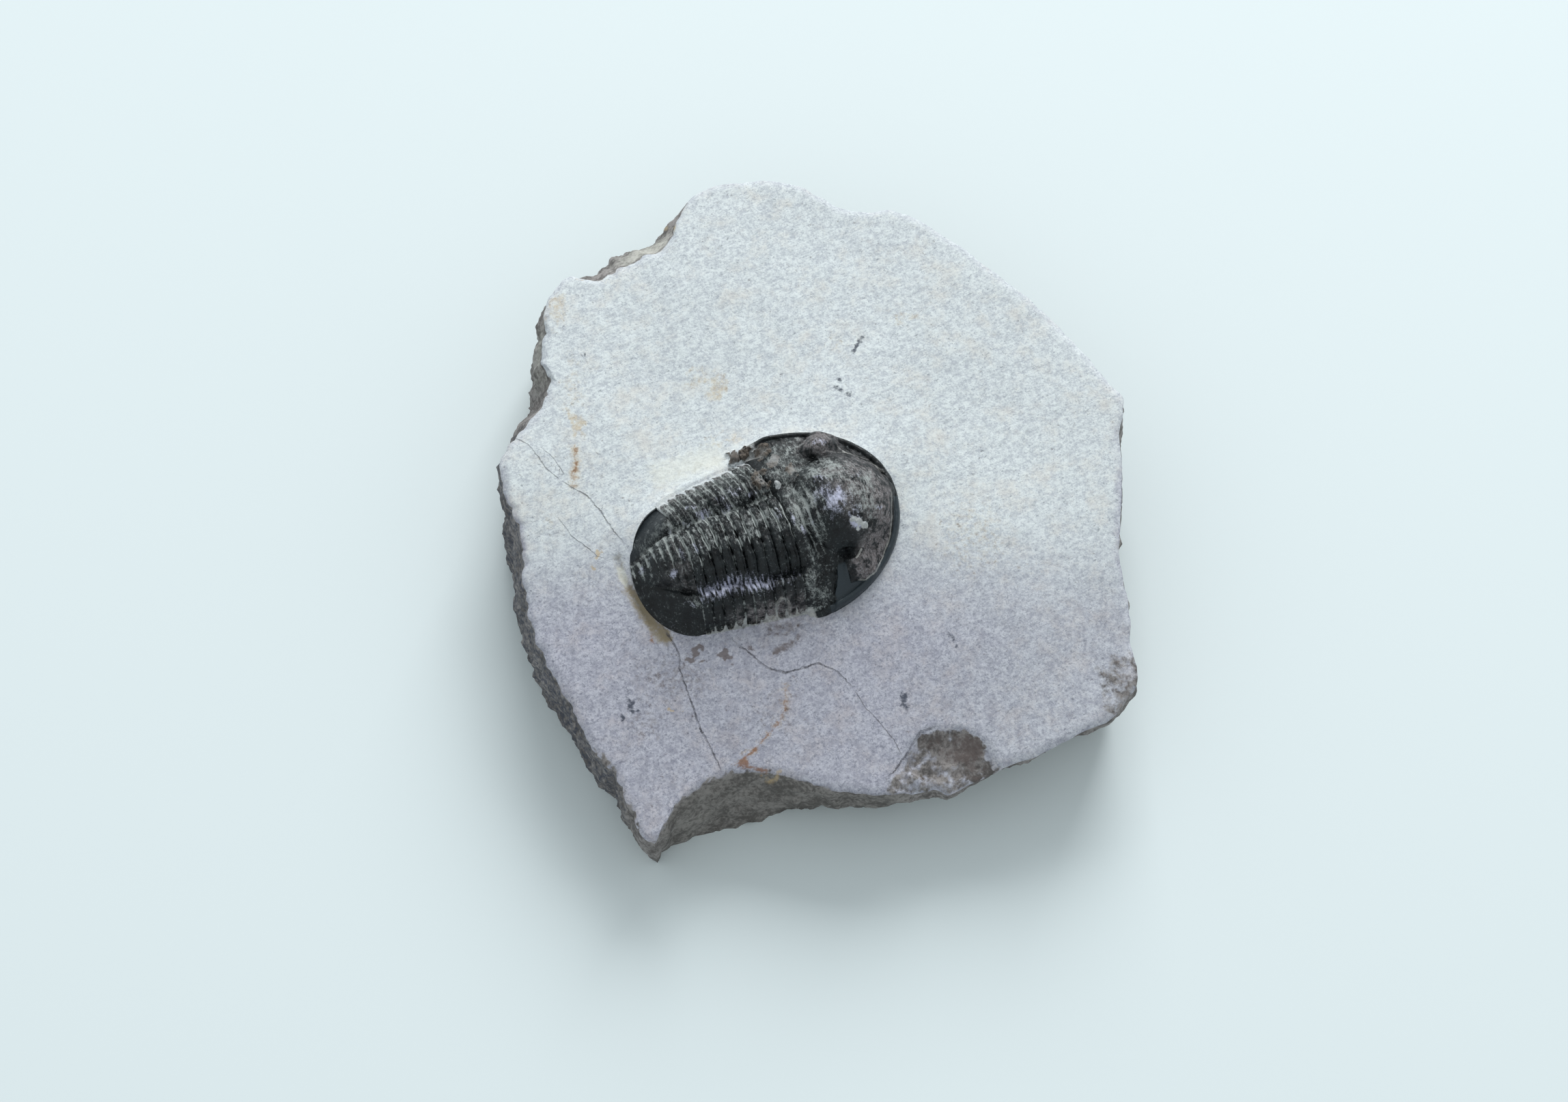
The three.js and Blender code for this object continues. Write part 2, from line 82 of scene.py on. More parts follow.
# Stone: how finely its face, rim and walls are divided
DIRECTIONS = 600
FACE_RINGS = 112
FACE_CROWDING = 1.2
RIM_RINGS = 5
WALL_RINGS = 22
CURVE_STEPS = 12

# Directions on each side over which the way outward is smoothed
CORNER_SPREAD = 12

# Rim of the face, clockwise from the far end: x, y, then how far the broken wall
# stands out from the rim at mid height and at the foot, negative where it is undercut
RIM = [
    (-5.1, 34.8, -0.3, -1.0), (-1.9, 34.2, -0.3, -1.0), (0.2, 33.0, -0.3, -1.0),
    (2.3, 31.8, -0.3, -1.0), (4.6, 31.4, -0.4, -1.2), (7.1, 31.5, -0.4, -1.2),
    (9.2, 30.6, -0.4, -1.2), (13.0, 27.9, -0.3, -1.0), (15.9, 25.3, -0.3, -1.0),
    (20.0, 21.7, -0.3, -1.0), (24.0, 17.1, -0.4, -1.2), (27.2, 12.7, -0.5, -1.4),
    (28.4, 10.8, -0.5, -1.4), (27.9, 7.4, -0.4, -1.4), (28.0, 3.3, -0.4, -1.4),
    (27.5, -3.0, -0.4, -1.4), (27.5, -5.2, -0.4, -1.4), (28.2, -10.2, -0.5, -1.6),
    (28.2, -12.4, -0.6, -1.8), (28.8, -15.7, -0.8, -2.2), (27.9, -17.7, -1.0, -2.6),
    (26.2, -19.8, -1.3, -3.2), (23.8, -20.8, -1.6, -3.8), (19.8, -22.9, -1.8, -4.0),
    (15.9, -24.2, -1.7, -3.8), (13.3, -25.2, -1.5, -3.6), (11.6, -26.2, -1.3, -3.4),
    (10.2, -25.7, -1.0, -3.0), (7.6, -26.3, -0.8, -2.8), (4.4, -26.5, -0.5, -2.6),
    (0.8, -26.0, -0.1, -2.0), (-2.6, -25.0, 0.5, 0.2), (-6.2, -24.3, 1.0, 1.8),
    (-9.1, -25.0, 1.0, 2.0), (-11.3, -26.1, 0.8, 1.6), (-12.9, -27.5, 0.5, 0.6),
    (-13.9, -29.3, 0.1, -0.8), (-14.9, -30.8, 0.0, -1.6), (-16.1, -29.8, -0.2, -1.4),
    (-17.0, -27.9, 0.0, -0.8), (-18.6, -24.6, 0.1, -0.4), (-20.6, -22.6, 0.2, -0.2),
    (-22.7, -18.3, 0.3, 0.0), (-25.0, -14.2, 0.4, 0.3), (-26.2, -11.4, 0.5, 0.5),
    (-27.0, -7.6, 0.7, 0.8), (-27.5, -2.3, 1.0, 1.2), (-28.6, 0.4, 0.6, 0.8),
    (-29.5, 3.4, 0.1, -0.3), (-29.0, 6.3, 0.3, 0.0), (-27.0, 8.8, 1.9, 1.6),
    (-25.3, 12.1, 2.4, 2.0), (-25.4, 14.0, 2.0, 1.8), (-26.2, 15.2, 1.1, 1.2),
    (-25.9, 18.0, 1.1, 1.0), (-26.1, 20.9, 0.6, 0.5), (-25.2, 23.1, 0.6, 0.2),
    (-23.6, 24.3, 1.2, 0.4), (-21.4, 23.9, 2.6, 1.2), (-18.7, 25.2, 3.6, 1.8),
    (-16.6, 26.5, 3.4, 1.8), (-14.9, 26.9, 3.4, 1.8), (-14.0, 28.7, 2.6, 1.2),
    (-13.4, 30.9, 1.2, 0.2), (-12.0, 33.0, 0.2, -0.6), (-10.1, 34.2, -0.2, -0.9),
    (-7.6, 34.5, -0.3, -1.0),
]

# Cracks of the face: width, strength, then x and y along each
CRACKS = [
    (0.07, 0.6, [(-28.1, 7.0), (-26.9, 6.2), (-26.0, 5.1), (-25.2, 3.85), (-23.75, 2.55)]),
    (0.05, 0.5, [(-25.4, 5.65), (-24.45, 4.8), (-23.4, 3.1)]),
    (0.08, 0.7, [(-23.75, 2.55), (-22.6, 1.9), (-21.3, 1.1), (-20.05, -0.4), (-18.9, -2.35), (-17.7, -3.8)]),
    (0.06, 0.6, [(-23.85, -1.15), (-22.7, -2.75), (-21.1, -4.0), (-20.15, -4.85), (-19.4, -5.0)]),
    (0.09, 0.9, [
        (-14.1, -11.5), (-12.7, -13.8), (-12.7, -15.1), (-11.6, -18.1), (-10.8, -20.4), (-9.5, -22.9),
        (-8.8, -24.5)]),
    (0.1, 0.9, [
        (-7.6, -12.8), (-6.2, -13.9), (-4.8, -15.1), (-3.1, -15.5), (-0.1, -14.6), (1.7, -15.5),
        (3.1, -17.1)]),
    (0.06, 0.6, [(3.1, -17.1), (4.0, -18.6), (5.4, -20.1), (6.7, -21.7), (7.3, -23.0)]),
    (0.1, 0.8, [(6.05, -25.05), (6.85, -24.05), (7.8, -22.7), (8.95, -20.85), (10.55, -20.25)]),
]

# Distance in crack widths where no crack is near
CRACK_FAR = 40.0

# Veins, streaks and a shadow of the face: x and y along each
RUSTY_VEIN = [(-3.1, -16.5), (-3.1, -18.8), (-4.0, -20.4), (-5.2, -21.6), (-5.9, -22.4), (-7.1, -23.4)]
RUSTY_BRANCH = [(-7.1, -23.4), (-6.6, -23.8), (-5.7, -24.1), (-4.9, -24.3)]
BROWN_SPUR = [(-3.9, -13.7), (-2.8, -13.0), (-1.6, -11.8)]
SHARD_SHADOW = [(8.3, -23.0), (9.1, -24.2), (9.3, -25.2)]
ORANGE_STREAK = [(-22.6, 6.0), (-22.4, 4.2), (-22.7, 2.2)]
DARK_STREAK = [(4.1, 17.6), (3.2, 15.9)]

# The groove at the tail, and the outline of the rough broken patch
CALCITE_GROOVE = [(-18.4, -5.2), (-18.0, -6.7), (-17.1, -8.1), (-15.8, -10.2), (-14.9, -11.5), (-13.9, -12.4)]
ROUGH_PATCH = [
    (6.05, -25.05), (6.85, -24.05), (7.8, -22.7), (8.95, -20.85), (10.55, -20.25), (11.2, -20.7),
    (12.6, -20.35), (13.45, -20.7), (14.4, -21.7), (15.2, -22.9), (16.0, -23.7), (16.4, -24.5),
    (16.4, -28.0), (5.5, -28.0),
]

# Ovals of the stone: middle, half length and half width, and turn in radians
WORN_CORNER = ((27.6, -16.5), (5.0, 5.5))
TAIL_CHALK = ((-17.95, -6.6), (0.6, 1.6), 0.4)
SHARD_RIDGE = ((8.0, -25.0), (1.5, 1.3))

# Where the ridge breaks off, as x
SHARD_EDGE = 9.1

# Trilobite: where its tail ends on the stone, which way it points, and its level
TAIL = (-16.8, -7.7)
HEADING = math.radians(19.6)
ROLL = math.radians(7)
DATUM = 12.2
BODY_LENGTH = 25.6
SEAT_DEPTH = 2.2
SEAT_CLEARANCE = 0.1
PLATE_FLOOR = DATUM - SEAT_DEPTH + SEAT_CLEARANCE

# Trilobite: trunk
SEGMENT_COUNT = 10
THORAX_START = 5.1
THORAX_END = 14.6
SEGMENT_PITCH = (THORAX_END - THORAX_START) / SEGMENT_COUNT
SEGMENT_GAP = 0.008
THORAX_HALF_WIDTH = {"rear": 6.45, "left": 8.1, "right": 7.6}
THORAX_FLARE = {"left": 0.55, "right": 0.9}
AXIS_HALF_WIDTH = {"tip": 1.2, "rear": 3.0, "front": 3.8}
AXIS_PLACE = [(0, 0.9), (2.5, 0.6), (5.1, 0.0), (8, 0.0), (11, -0.5), (14, -0.5), (16.5, 0.0)]
AXIS_ROUNDNESS = 0.75
PLEURA = {"arch": 0.35, "archReach": 1.6, "fall": 2.4}
SWEEP_BACK = {"left": 1.9, "right": 0.9, "at": 9.2, "power": 2.0}
JOINT_WANDER = {"size": 1.3, "reach": 0.16, "within": 6.0, "apart": 7.3}

# Trilobite: tail shield
PYGIDIUM_HALF_WIDTH = 6.3
PYGIDIUM_TIP = 1.0
PYGIDIUM_RINGS = 6
PYGIDIUM_RIM = 3.4
PYGIDIUM_BLUNTNESS = 0.15
PYGIDIUM_RIB = 0.95

# Trilobite: head shield
HEAD_CENTRE = 14.6
HEAD_LENGTH = 10.95
HEAD_REACH = {"left": 9.4, "right": 8.3}
HEAD_TIP = 1.2
HEAD_BLUNTNESS = 0.998
CORNER_ROUNDING = 1.5
BORDER_WIDTH = 0.7
BORDER_TOP = 1.2
BORDER_EDGE = 0.4
CHEEK = {"top": 4.1, "sink": 0.2, "reach": 0.94, "fall": 2.2}
MOUND_ROUNDNESS = 0.6
GLABELLA = {"u": 20.3, "v": 0.65, "halfLength": 4.8, "halfWidth": 4.9, "rise": 3.0}
OCCIPITAL = {"u": 15.3, "v": 0.1, "halfLength": 0.75, "halfWidth": 3.9, "rise": 1.1}
LEFT_EYE = {"u": 20.1, "v": 6.6, "halfLength": 2.0, "halfWidth": 1.6, "rise": 2.1}
RIGHT_EYE = {"u": 19.9, "v": -5.2, "halfLength": 1.9, "halfWidth": 1.5, "rise": 1.3}
CRUSH = {"size": 1.8, "reach": 0.3, "seeds": (91, 92, 93)}

# Points across and along each plate, and along the parts of the trilobite's outline
THORAX_GRID = (200, 30)
PYGIDIUM_GRID = (200, 160)
HEAD_GRID = (270, 200)
OUTLINE_STEPS = {"tail": 40, "trunk": 60, "corner": 20, "head": 60}
TAIL_TURN = 1.35

# Lines of the head, and the foot of the lump of limestone beside the trunk: u and v along each
PALE_LINE = [(24.9, 1.0), (24.3, -1.6), (23.4, -3.4), (22.2, -5.0), (21.0, -6.0), (19.9, -6.6), (18.9, -6.5)]
SUTURE = [(21.6, 6.0), (23.1, 4.1), (24.4, 3.3), (24.95, 2.5)]
CHEEK_STEP = [(17.9, -4.4), (17.3, -5.8), (16.4, -8.1), (16.1, -9.5)]
SHARD = [(19.5, -4.75), (20.2, -4.15)]
LUMP_FOOT = [(12.6, 8.8), (11.2, 8.9), (9.4, 9.7)]

# Ovals on the trilobite and beside it, written like those of the stone, and the stripes behind the
# glabella with the place where they are strongest
HEAD_HOLLOW = ((19.1, -4.0), (1.2, 0.8), -0.3)
HEAD_DARK = ((18.7, -2.9), (1.8, 1.2), -0.4)
SIDE_BROWN = ((11.4, -8.1), (3.0, 1.2))
STRIPES = {"start": 15.15, "pitch": 0.72, "slant": 0.15}
STRIPED = {"u": 16.6, "v": -0.3, "length": 1.5, "width": 3.0}

# Where the broken cheek ends in front, as u
CHEEK_STEP_END = 18.5

# Limestone left on the shell: u, v, half length, half width, rise, and tone from white 0 to brown 1
REMNANTS = [
    (13.75, 4.9, 0.8, 1.5, 0.35, 0.9), (13.2, 8.6, 1.6, 1.0, 0.55, 1.0), (14.8, 7.9, 1.0, 1.0, 0.25, 0.9),
    (15.5, 6.45, 0.7, 0.8, 0.1, 0.75), (15.0, 3.9, 0.28, 0.6, 0.12, 0.35), (16.7, 4.8, 0.5, 0.8, 0.06, 0.8),
    (21.0, -2.4, 0.4, 0.28, 0.15, 0.15), (20.55, -2.1, 0.4, 0.35, 0.18, 0.25),
    (20.1, -1.75, 0.4, 0.3, 0.12, 0.3), (20.3, -2.6, 0.3, 0.25, 0.1, 0.2),
    (10.2, -7.3, 1.0, 0.6, 0.12, 0.35), (12.9, -7.7, 1.0, 0.7, 0.12, 0.35), (8.6, -7.2, 0.7, 0.5, 0.1, 0.3),
]
REMNANT_RAGGEDNESS = 0.9
SHELL_LOOP = {"u": 11.9, "v": -6.7, "radius": 0.6, "width": 0.24, "rise": 0.25, "cover": 0.55, "tone": 0.65}

# Heights above the datum along the body, as distance from the tail and height
AXIS_CREST = [(0, 0.5), (1.0, 1.7), (2.6, 3.1), (5.1, 4.0), (9, 4.6), (12, 4.8), (16, 4.9)]
AXIS_FURROW = [(0, 0.3), (1.0, 0.9), (2.6, 1.7), (5.1, 2.4), (9, 2.8), (12, 3.0), (16, 3.0)]
SIDE_EDGE = [(0, -0.2), (3, -0.2), (6, -0.1), (10, 0.0), (14, 0.1), (16, 0.1)]

# Traits of the shell, the sharpest smooth edge of a mesh and the largest size of a trait
SHELL_TRAITS = ("bloom", "haze", "brown", "crust", "crust_tone", "polish", "pale_line")
SHARP_ANGLE = math.radians(75)
TRAIT_LIMIT = 50

# Whole numbers that scatter the corners of the noise lattice, and the noise's strength
LATTICE_STEPS = np.array([73856093, 19349663, 83492791])
SEED_STEP = 2654435761
FIRST_MIX = 2246822519
SECOND_MIX = 3266489917
NOISE_GAIN = 1.6


def smooth_step(x, low, high):
    """0 below low, 1 above high, and 3t^2 - 2t^3 between them."""
    t = np.clip((x - low) / (high - low), 0, 1)
    return t * t * (3 - 2 * t)


def bump(x, centre, half_width, power=0.7):
    """A ridge of height 1: one minus the squared distance from its centre, to a power."""
    return np.maximum(1 - ((x - centre) / half_width) ** 2, 0) ** power


def bell(x, half_width):
    """A soft ridge of height 1 about 0: e to the minus squared distance."""
    return np.exp(-(x / half_width) ** 2)


def along(stations, position):
    """Smooth curve through (position, value) stations, with tangents from their neighbours."""
    knots, values = np.array(stations, float).T
    last = len(knots) - 1
    before = np.maximum(np.arange(last + 1) - 1, 0)
    after = np.minimum(np.arange(last + 1) + 1, last)
    tangents = (values[after] - values[before]) / (knots[after] - knots[before])
    x = np.clip(position, knots[0], knots[-1])
    i = np.clip(np.searchsorted(knots, x, side="right") - 1, 0, last - 1)
    span = knots[i + 1] - knots[i]
    t = (x - knots[i]) / span
    ends = (1 + 2 * t) * (1 - t) ** 2 * values[i] + t * t * (3 - 2 * t) * values[i + 1]
    return ends + span * (t * (1 - t) ** 2 * tangents[i] + t * t * (t - 1) * tangents[i + 1])


def scatter(key):
    """Random numbers from -1 to 1 for whole numbers, the same each run."""
    mixed = (key ^ (key >> 15)) * FIRST_MIX
    mixed = (mixed ^ (mixed >> 13)) * SECOND_MIX
    return ((mixed ^ (mixed >> 16)) & 0xFFFFF) / 0x7FFFF - 1


def noise(points, size, seed=0):
    """Gradient noise of about -1 to 1: slopes at the corners of cubes, blended across each cube.

    The seed picks one pattern of many.
    """
    shape = points.shape[:-1]
    cell = points.reshape(-1, 3) / size
    corner = np.floor(cell).astype(np.int64)
    inside = cell - corner
    fade = inside ** 3 * (inside * (inside * 6 - 15) + 10)
    total = np.zeros(len(cell))
    for step in np.ndindex(2, 2, 2):
        key = ((corner + step) * LATTICE_STEPS).sum(axis=1) + seed * SEED_STEP
        weight = np.prod(np.where(step, fade, 1 - fade), axis=1)
        slope = np.stack([scatter(key + axis) for axis in range(3)], axis=1)
        total += weight * (slope * (inside - step)).sum(axis=1)
    return NOISE_GAIN * total.reshape(shape)


def fractal(points, size, octaves, seed=0, gain=0.5):
    """Noise of one size plus half of it at half the size, and so on."""
    layers = [gain ** k * noise(points, size / 2 ** k, seed + k) for k in range(octaves)]
    return np.sum(layers, axis=0)


def ridged(points, size, octaves, seed=0):
    """Sharp-crested noise of 0 to about 2: one minus the size of each layer of noise."""
    layers = [0.5 ** k * (1 - 2 * np.abs(noise(points, size / 2 ** k, seed + k))) for k in range(octaves)]
    return np.sum(layers, axis=0)


def level(x, y):
    """Points at height 0 over x and y."""
    return np.stack([x, y, np.zeros(x.shape)], axis=-1)


def path_distance(x, y, path):
    """Distance to a polyline, positive on its left and negative on its right, and the share of it gone."""
    nearest = np.full(x.shape, np.inf)
    side = np.ones(x.shape)
    gone = np.zeros(x.shape)
    steps = np.hypot(*np.diff(np.array(path), axis=0).T)
    starts = np.concatenate([[0], np.cumsum(steps)]) / steps.sum()
    for k, ((ax, ay), (bx, by)) in enumerate(zip(path[:-1], path[1:])):
        ux, uy = (bx - ax) / steps[k], (by - ay) / steps[k]
        t = np.clip((x - ax) * ux + (y - ay) * uy, 0, steps[k])
        distance = np.hypot(x - ax - t * ux, y - ay - t * uy)
        closer = distance < nearest
        turn = np.where(ux * (y - ay) - uy * (x - ax) < 0, -1.0, 1.0)
        nearest = np.where(closer, distance, nearest)
        side = np.where(closer, turn, side)
        gone = np.where(closer, starts[k] + t / steps.sum(), gone)
    return nearest * side, gone


def beside(x, y, path):
    """Distance to a polyline, positive on its left and negative on its right."""
    return path_distance(x, y, path)[0]


def inside_path(x, y, path):
    """True inside a closed polygon, where a line to one side crosses it an odd number of times."""
    crossings = np.zeros(x.shape, int)
    for (ax, ay), (bx, by) in zip(path, path[1:] + path[:1]):
        straddles = (ay > y) != (by > y)
        at = ax + (y - ay) * (bx - ax) / (by - ay if by != ay else 1)
        crossings += straddles & (x < at)
    return crossings % 2 == 1


def inside_share(x, y, path, soft):
    """1 well inside a closed polygon and 0 well outside it, over a soft edge of this half width."""
    edge = np.abs(beside(x, y, path + path[:1]))
    return smooth_step(np.where(inside_path(x, y, path), edge, -edge), -soft, soft)


def spot(x, y, centre, radii, turn=0.0):
    """A soft oval stain: 1 in the middle, falling to 0 at its two radii."""
    dx, dy = x - centre[0], y - centre[1]
    c, s = math.cos(turn), math.sin(turn)
    reach = np.hypot((dx * c + dy * s) / radii[0], (dy * c - dx * s) / radii[1])
    return 1 - smooth_step(reach, 0.25, 1)


def closed_curve(rows, count):
    """Points evenly spaced along a closed smooth curve through rows of values."""
    rows = np.array(rows)
    t = (np.arange(CURVE_STEPS) / CURVE_STEPS)[None, :, None]
    p0, p1, p2, p3 = (np.roll(rows, k, axis=0)[:, None] for k in (1, 0, -1, -2))
    cubic = 2 * p0 - 5 * p1 + 4 * p2 - p3 + t * (3 * p1 - p0 - 3 * p2 + p3)
    dense = (p1 + 0.5 * t * (p2 - p0 + t * cubic)).reshape(-1, rows.shape[1])
    dense = np.vstack([dense, dense[:1]])
    gone = np.concatenate([[0], np.cumsum(np.hypot(*np.diff(dense[:, :2], axis=0).T))])
    even = np.linspace(0, gone[-1], count, endpoint=False)
    return np.stack([np.interp(even, gone, column) for column in dense.T], axis=-1)


def to_stone(u, v):
    """Turns the trilobite's u and v to the stone's x and y."""
    x = TAIL[0] + u * math.cos(HEADING) - v * math.sin(HEADING)
    y = TAIL[1] + u * math.sin(HEADING) + v * math.cos(HEADING)
    return x, y


def to_body(x, y):
    """Turns the stone's x and y to the trilobite's u and v."""
    dx, dy = x - TAIL[0], y - TAIL[1]
    u = dx * math.cos(HEADING) + dy * math.sin(HEADING)
    v = dy * math.cos(HEADING) - dx * math.sin(HEADING)
    return u, v


def place(u, v, w):
    """Points of the trilobite rolled a little on the stone, as x, y and z."""
    x, y = to_stone(u, v * math.cos(ROLL) - w * math.sin(ROLL))
    z = DATUM + v * math.sin(ROLL) + w * math.cos(ROLL)
    return np.stack([x, y, z], axis=-1)


def build_mesh(name, points, faces, traits, material):
    """Makes one object from points in millimetres, groups of faces and a value per point for each trait."""
    corners = np.concatenate([group.ravel() for group in faces])
    sizes = np.concatenate([np.full(len(group), group.shape[1]) for group in faces])
    starts = np.concatenate([[0], np.cumsum(sizes)[:-1]])
    shift = np.array([*FOOTPRINT_SHIFT, 0])
    mesh = bpy.data.meshes.new(name)
    mesh.vertices.add(len(points))
    mesh.vertices.foreach_set("co", ((points + shift) * MM).ravel())
    mesh.loops.add(len(corners))
    mesh.loops.foreach_set("vertex_index", corners)
    mesh.polygons.add(len(sizes))
    mesh.polygons.foreach_set("loop_start", starts)
    mesh.update(calc_edges=True)
    mesh.polygons.foreach_set("use_smooth", np.ones(len(sizes), bool))
    for trait, values in traits.items():
        layer = mesh.attributes.new(trait, "FLOAT", "POINT")
        layer.data.foreach_set("value", np.clip(values, -TRAIT_LIMIT, TRAIT_LIMIT).astype(np.float32).ravel())
    if mesh.validate():
        raise RuntimeError(f"the mesh of {name} had faults")
    mesh.set_sharp_from_angle(angle=SHARP_ANGLE)
    mesh.materials.append(material)
    made = bpy.data.objects.new(name, mesh)
    bpy.context.scene.collection.objects.link(made)
    return made


def finish_piece(piece, node):
    """Gives a finished piece its body and hides the CAD part that it stands for."""
    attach(piece, BODY)
    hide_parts(node)


def build_plate(name, top, traits, material):
    """Closes a plate: its top, points across by along, goes down upright sides to a flat underside."""
    across, steps = top.shape[:2]
    front, rear = top[:, -1:].copy(), top[:, :1].copy()
    front[..., 2] = rear[..., 2] = PLATE_FLOOR
    loops = np.concatenate([top, front, rear], axis=1)
    size = steps + 2
    index = np.arange(across * size).reshape(across, size)
    ahead = np.roll(index, -1, axis=1)
    quads = np.stack([index[:-1], ahead[:-1], ahead[1:], index[1:]], axis=-1).reshape(-1, 4)
    caps = np.stack([index[0, ::-1], index[-1]])
    closed = {}
    for trait, values in traits.items():
        closed[trait] = np.concatenate([values, values[:, -1:], values[:, :1]], axis=1)
    return build_mesh(name, loops.reshape(-1, 3), [quads, caps], closed, material)


def plate_grid(left, right, grid):
    """v and s over a plate: v by the sine of an even turn, s from 0 at its rear to 1 at its front."""
    columns, steps = grid
    turn = np.linspace(-0.5, 0.5, columns)[:, None] * math.pi
    s = np.broadcast_to(np.linspace(0, 1, steps), (columns, steps))
    return (left - right) / 2 + (left + right) / 2 * np.sin(turn) + 0 * s, s


def sweep_back(v):
    """How far a margin sweeps back: a share of its reach that grows with the square of v."""
    reach = np.where(v > 0, SWEEP_BACK["left"], SWEEP_BACK["right"])
    return reach * (np.abs(v) / SWEEP_BACK["at"]) ** SWEEP_BACK["power"]


def joint_line(number, v):
    """Margin between two plates, counted from the tail: swept back and wandering a little near the middle."""
    apart = np.full(np.shape(v), JOINT_WANDER["apart"] * number)
    wander = JOINT_WANDER["reach"] * noise(level(v, apart), JOINT_WANDER["size"], 17)
    middle = np.maximum(1 - (v / JOINT_WANDER["within"]) ** 2, 0)
    return THORAX_START + SEGMENT_PITCH * number - sweep_back(v) + wander * middle


def head_rear(v):
    """Rear margin of the head: the last joint, then rounded forward beyond the trunk's sides."""
    half_width = np.where(v > 0, THORAX_HALF_WIDTH["left"], THORAX_HALF_WIDTH["right"])
    reach = np.where(v > 0, HEAD_REACH["left"], HEAD_REACH["right"])
    beyond = np.maximum(np.abs(v) - half_width, 0) / (reach - half_width)
    return joint_line(SEGMENT_COUNT, v) + CORNER_ROUNDING * (1 - np.sqrt(np.maximum(1 - beyond ** 2, 0)))


def axis_half_width(u):
    """Half width of the axis: a smooth step over the tail, then a straight line over the trunk."""
    trunk = np.clip((u - THORAX_START) / (THORAX_END - THORAX_START), 0, 1)
    tail = smooth_step(u, 0, THORAX_START)
    rear = AXIS_HALF_WIDTH["tip"] + (AXIS_HALF_WIDTH["rear"] - AXIS_HALF_WIDTH["tip"]) * tail
    return rear + (AXIS_HALF_WIDTH["front"] - AXIS_HALF_WIDTH["rear"]) * trunk


def from_axis(u, v):
    """Sideways distance from the middle of the axis, positive to the left."""
    return v - along(AXIS_PLACE, u)


def body_height(u, v, half_width):
    """Section of trunk and tail: an arched axis between two furrows, then pleurae that turn down."""
    crest, furrow, edge = (along(stations, u) for stations in (AXIS_CREST, AXIS_FURROW, SIDE_EDGE))
    axis = axis_half_width(u)
    side = np.abs(from_axis(u, v))
    arched = furrow + (crest - furrow) * np.maximum(1 - (side / axis) ** 2, 0) ** AXIS_ROUNDNESS
    reach = np.abs(half_width - np.sign(v) * along(AXIS_PLACE, u))
    t = np.clip((side - axis) / (reach - axis), 0, 1)
    arch = PLEURA["arch"] * np.sin(math.pi * np.minimum(PLEURA["archReach"] * t, 1))
    return np.where(side < axis, arched, furrow + arch - (furrow - edge) * t ** PLEURA["fall"])


def thorax_half_width(u, side):
    """Reach of the trunk from its middle at u, to its left or its right."""
    forward = np.clip((u - THORAX_START) / (THORAX_END - THORAX_START), 0, 1)
    front = THORAX_HALF_WIDTH[side]
    return THORAX_HALF_WIDTH["rear"] + (front - THORAX_HALF_WIDTH["rear"]) * forward ** THORAX_FLARE[side]


def oval_reach(u, v, shape):
    """Distance from the middle of a mound: 0 there and 1 at its half length and its half width."""
    return np.hypot((u - shape["u"]) / shape["halfLength"], (v - shape["v"]) / shape["halfWidth"])


def mound(u, v, shape, power=MOUND_ROUNDNESS):
    """A smooth mound of height 1 in the middle and 0 outside its half length and half width."""
    return np.maximum(1 - oval_reach(u, v, shape) ** 2, 0) ** power


def head_side(v):
    """Sideways place in the head's outline: 0 at its tip, 1 at its left and its right side."""
    to_left = (v - HEAD_TIP) / (HEAD_REACH["left"] - HEAD_TIP)
    to_right = (HEAD_TIP - v) / (HEAD_REACH["right"] + HEAD_TIP)
    return np.maximum(to_left, to_right)


def head_base(u, v):
    """The head without its raised parts: a rolled border, then a cheek that swells to the middle."""
    reach = np.hypot((u - HEAD_CENTRE) / HEAD_LENGTH, head_side(v))
    inward = (1 - reach) * (HEAD_REACH["left"] + HEAD_REACH["right"]) / 2
    swell = 1 - np.minimum(reach / CHEEK["reach"], 1) ** CHEEK["fall"]
    cheek = BORDER_TOP - CHEEK["sink"] + (CHEEK["top"] - BORDER_TOP) * swell
    roll = np.sqrt(np.maximum(1 - (2 * inward / BORDER_WIDTH - 1) ** 2, 0))
    border = BORDER_EDGE + (BORDER_TOP - BORDER_EDGE) * roll
    inner = np.maximum(border * (inward < BORDER_WIDTH), cheek)
    return np.where(inward < BORDER_WIDTH / 2, border, inner), inward


def face_height(x, y):
    """Height of the stone's face: two facets with a soft crest, a low swell and a broken corner."""
    d = y - CREST_Y
    bend = CREST_SOFTNESS * np.log(1 + np.exp(-d / CREST_SOFTNESS))
    facets = CREST_HEIGHT + FAR_SLOPE * d - (NEAR_SLOPE - FAR_SLOPE) * bend
    ripple = np.sin(x / SWELL_LENGTH[0] * math.pi + SWELL_PHASE)
    swell = SWELL_HEIGHT * ripple * np.sin(y / SWELL_LENGTH[1] * math.pi)
    chip = np.hypot((x - CHIP["x"]) / CHIP["width"], (y - CHIP["y"]) / CHIP["length"])
    return facets + swell - CHIP["depth"] * (1 - smooth_step(chip, CHIP["level"], 1))


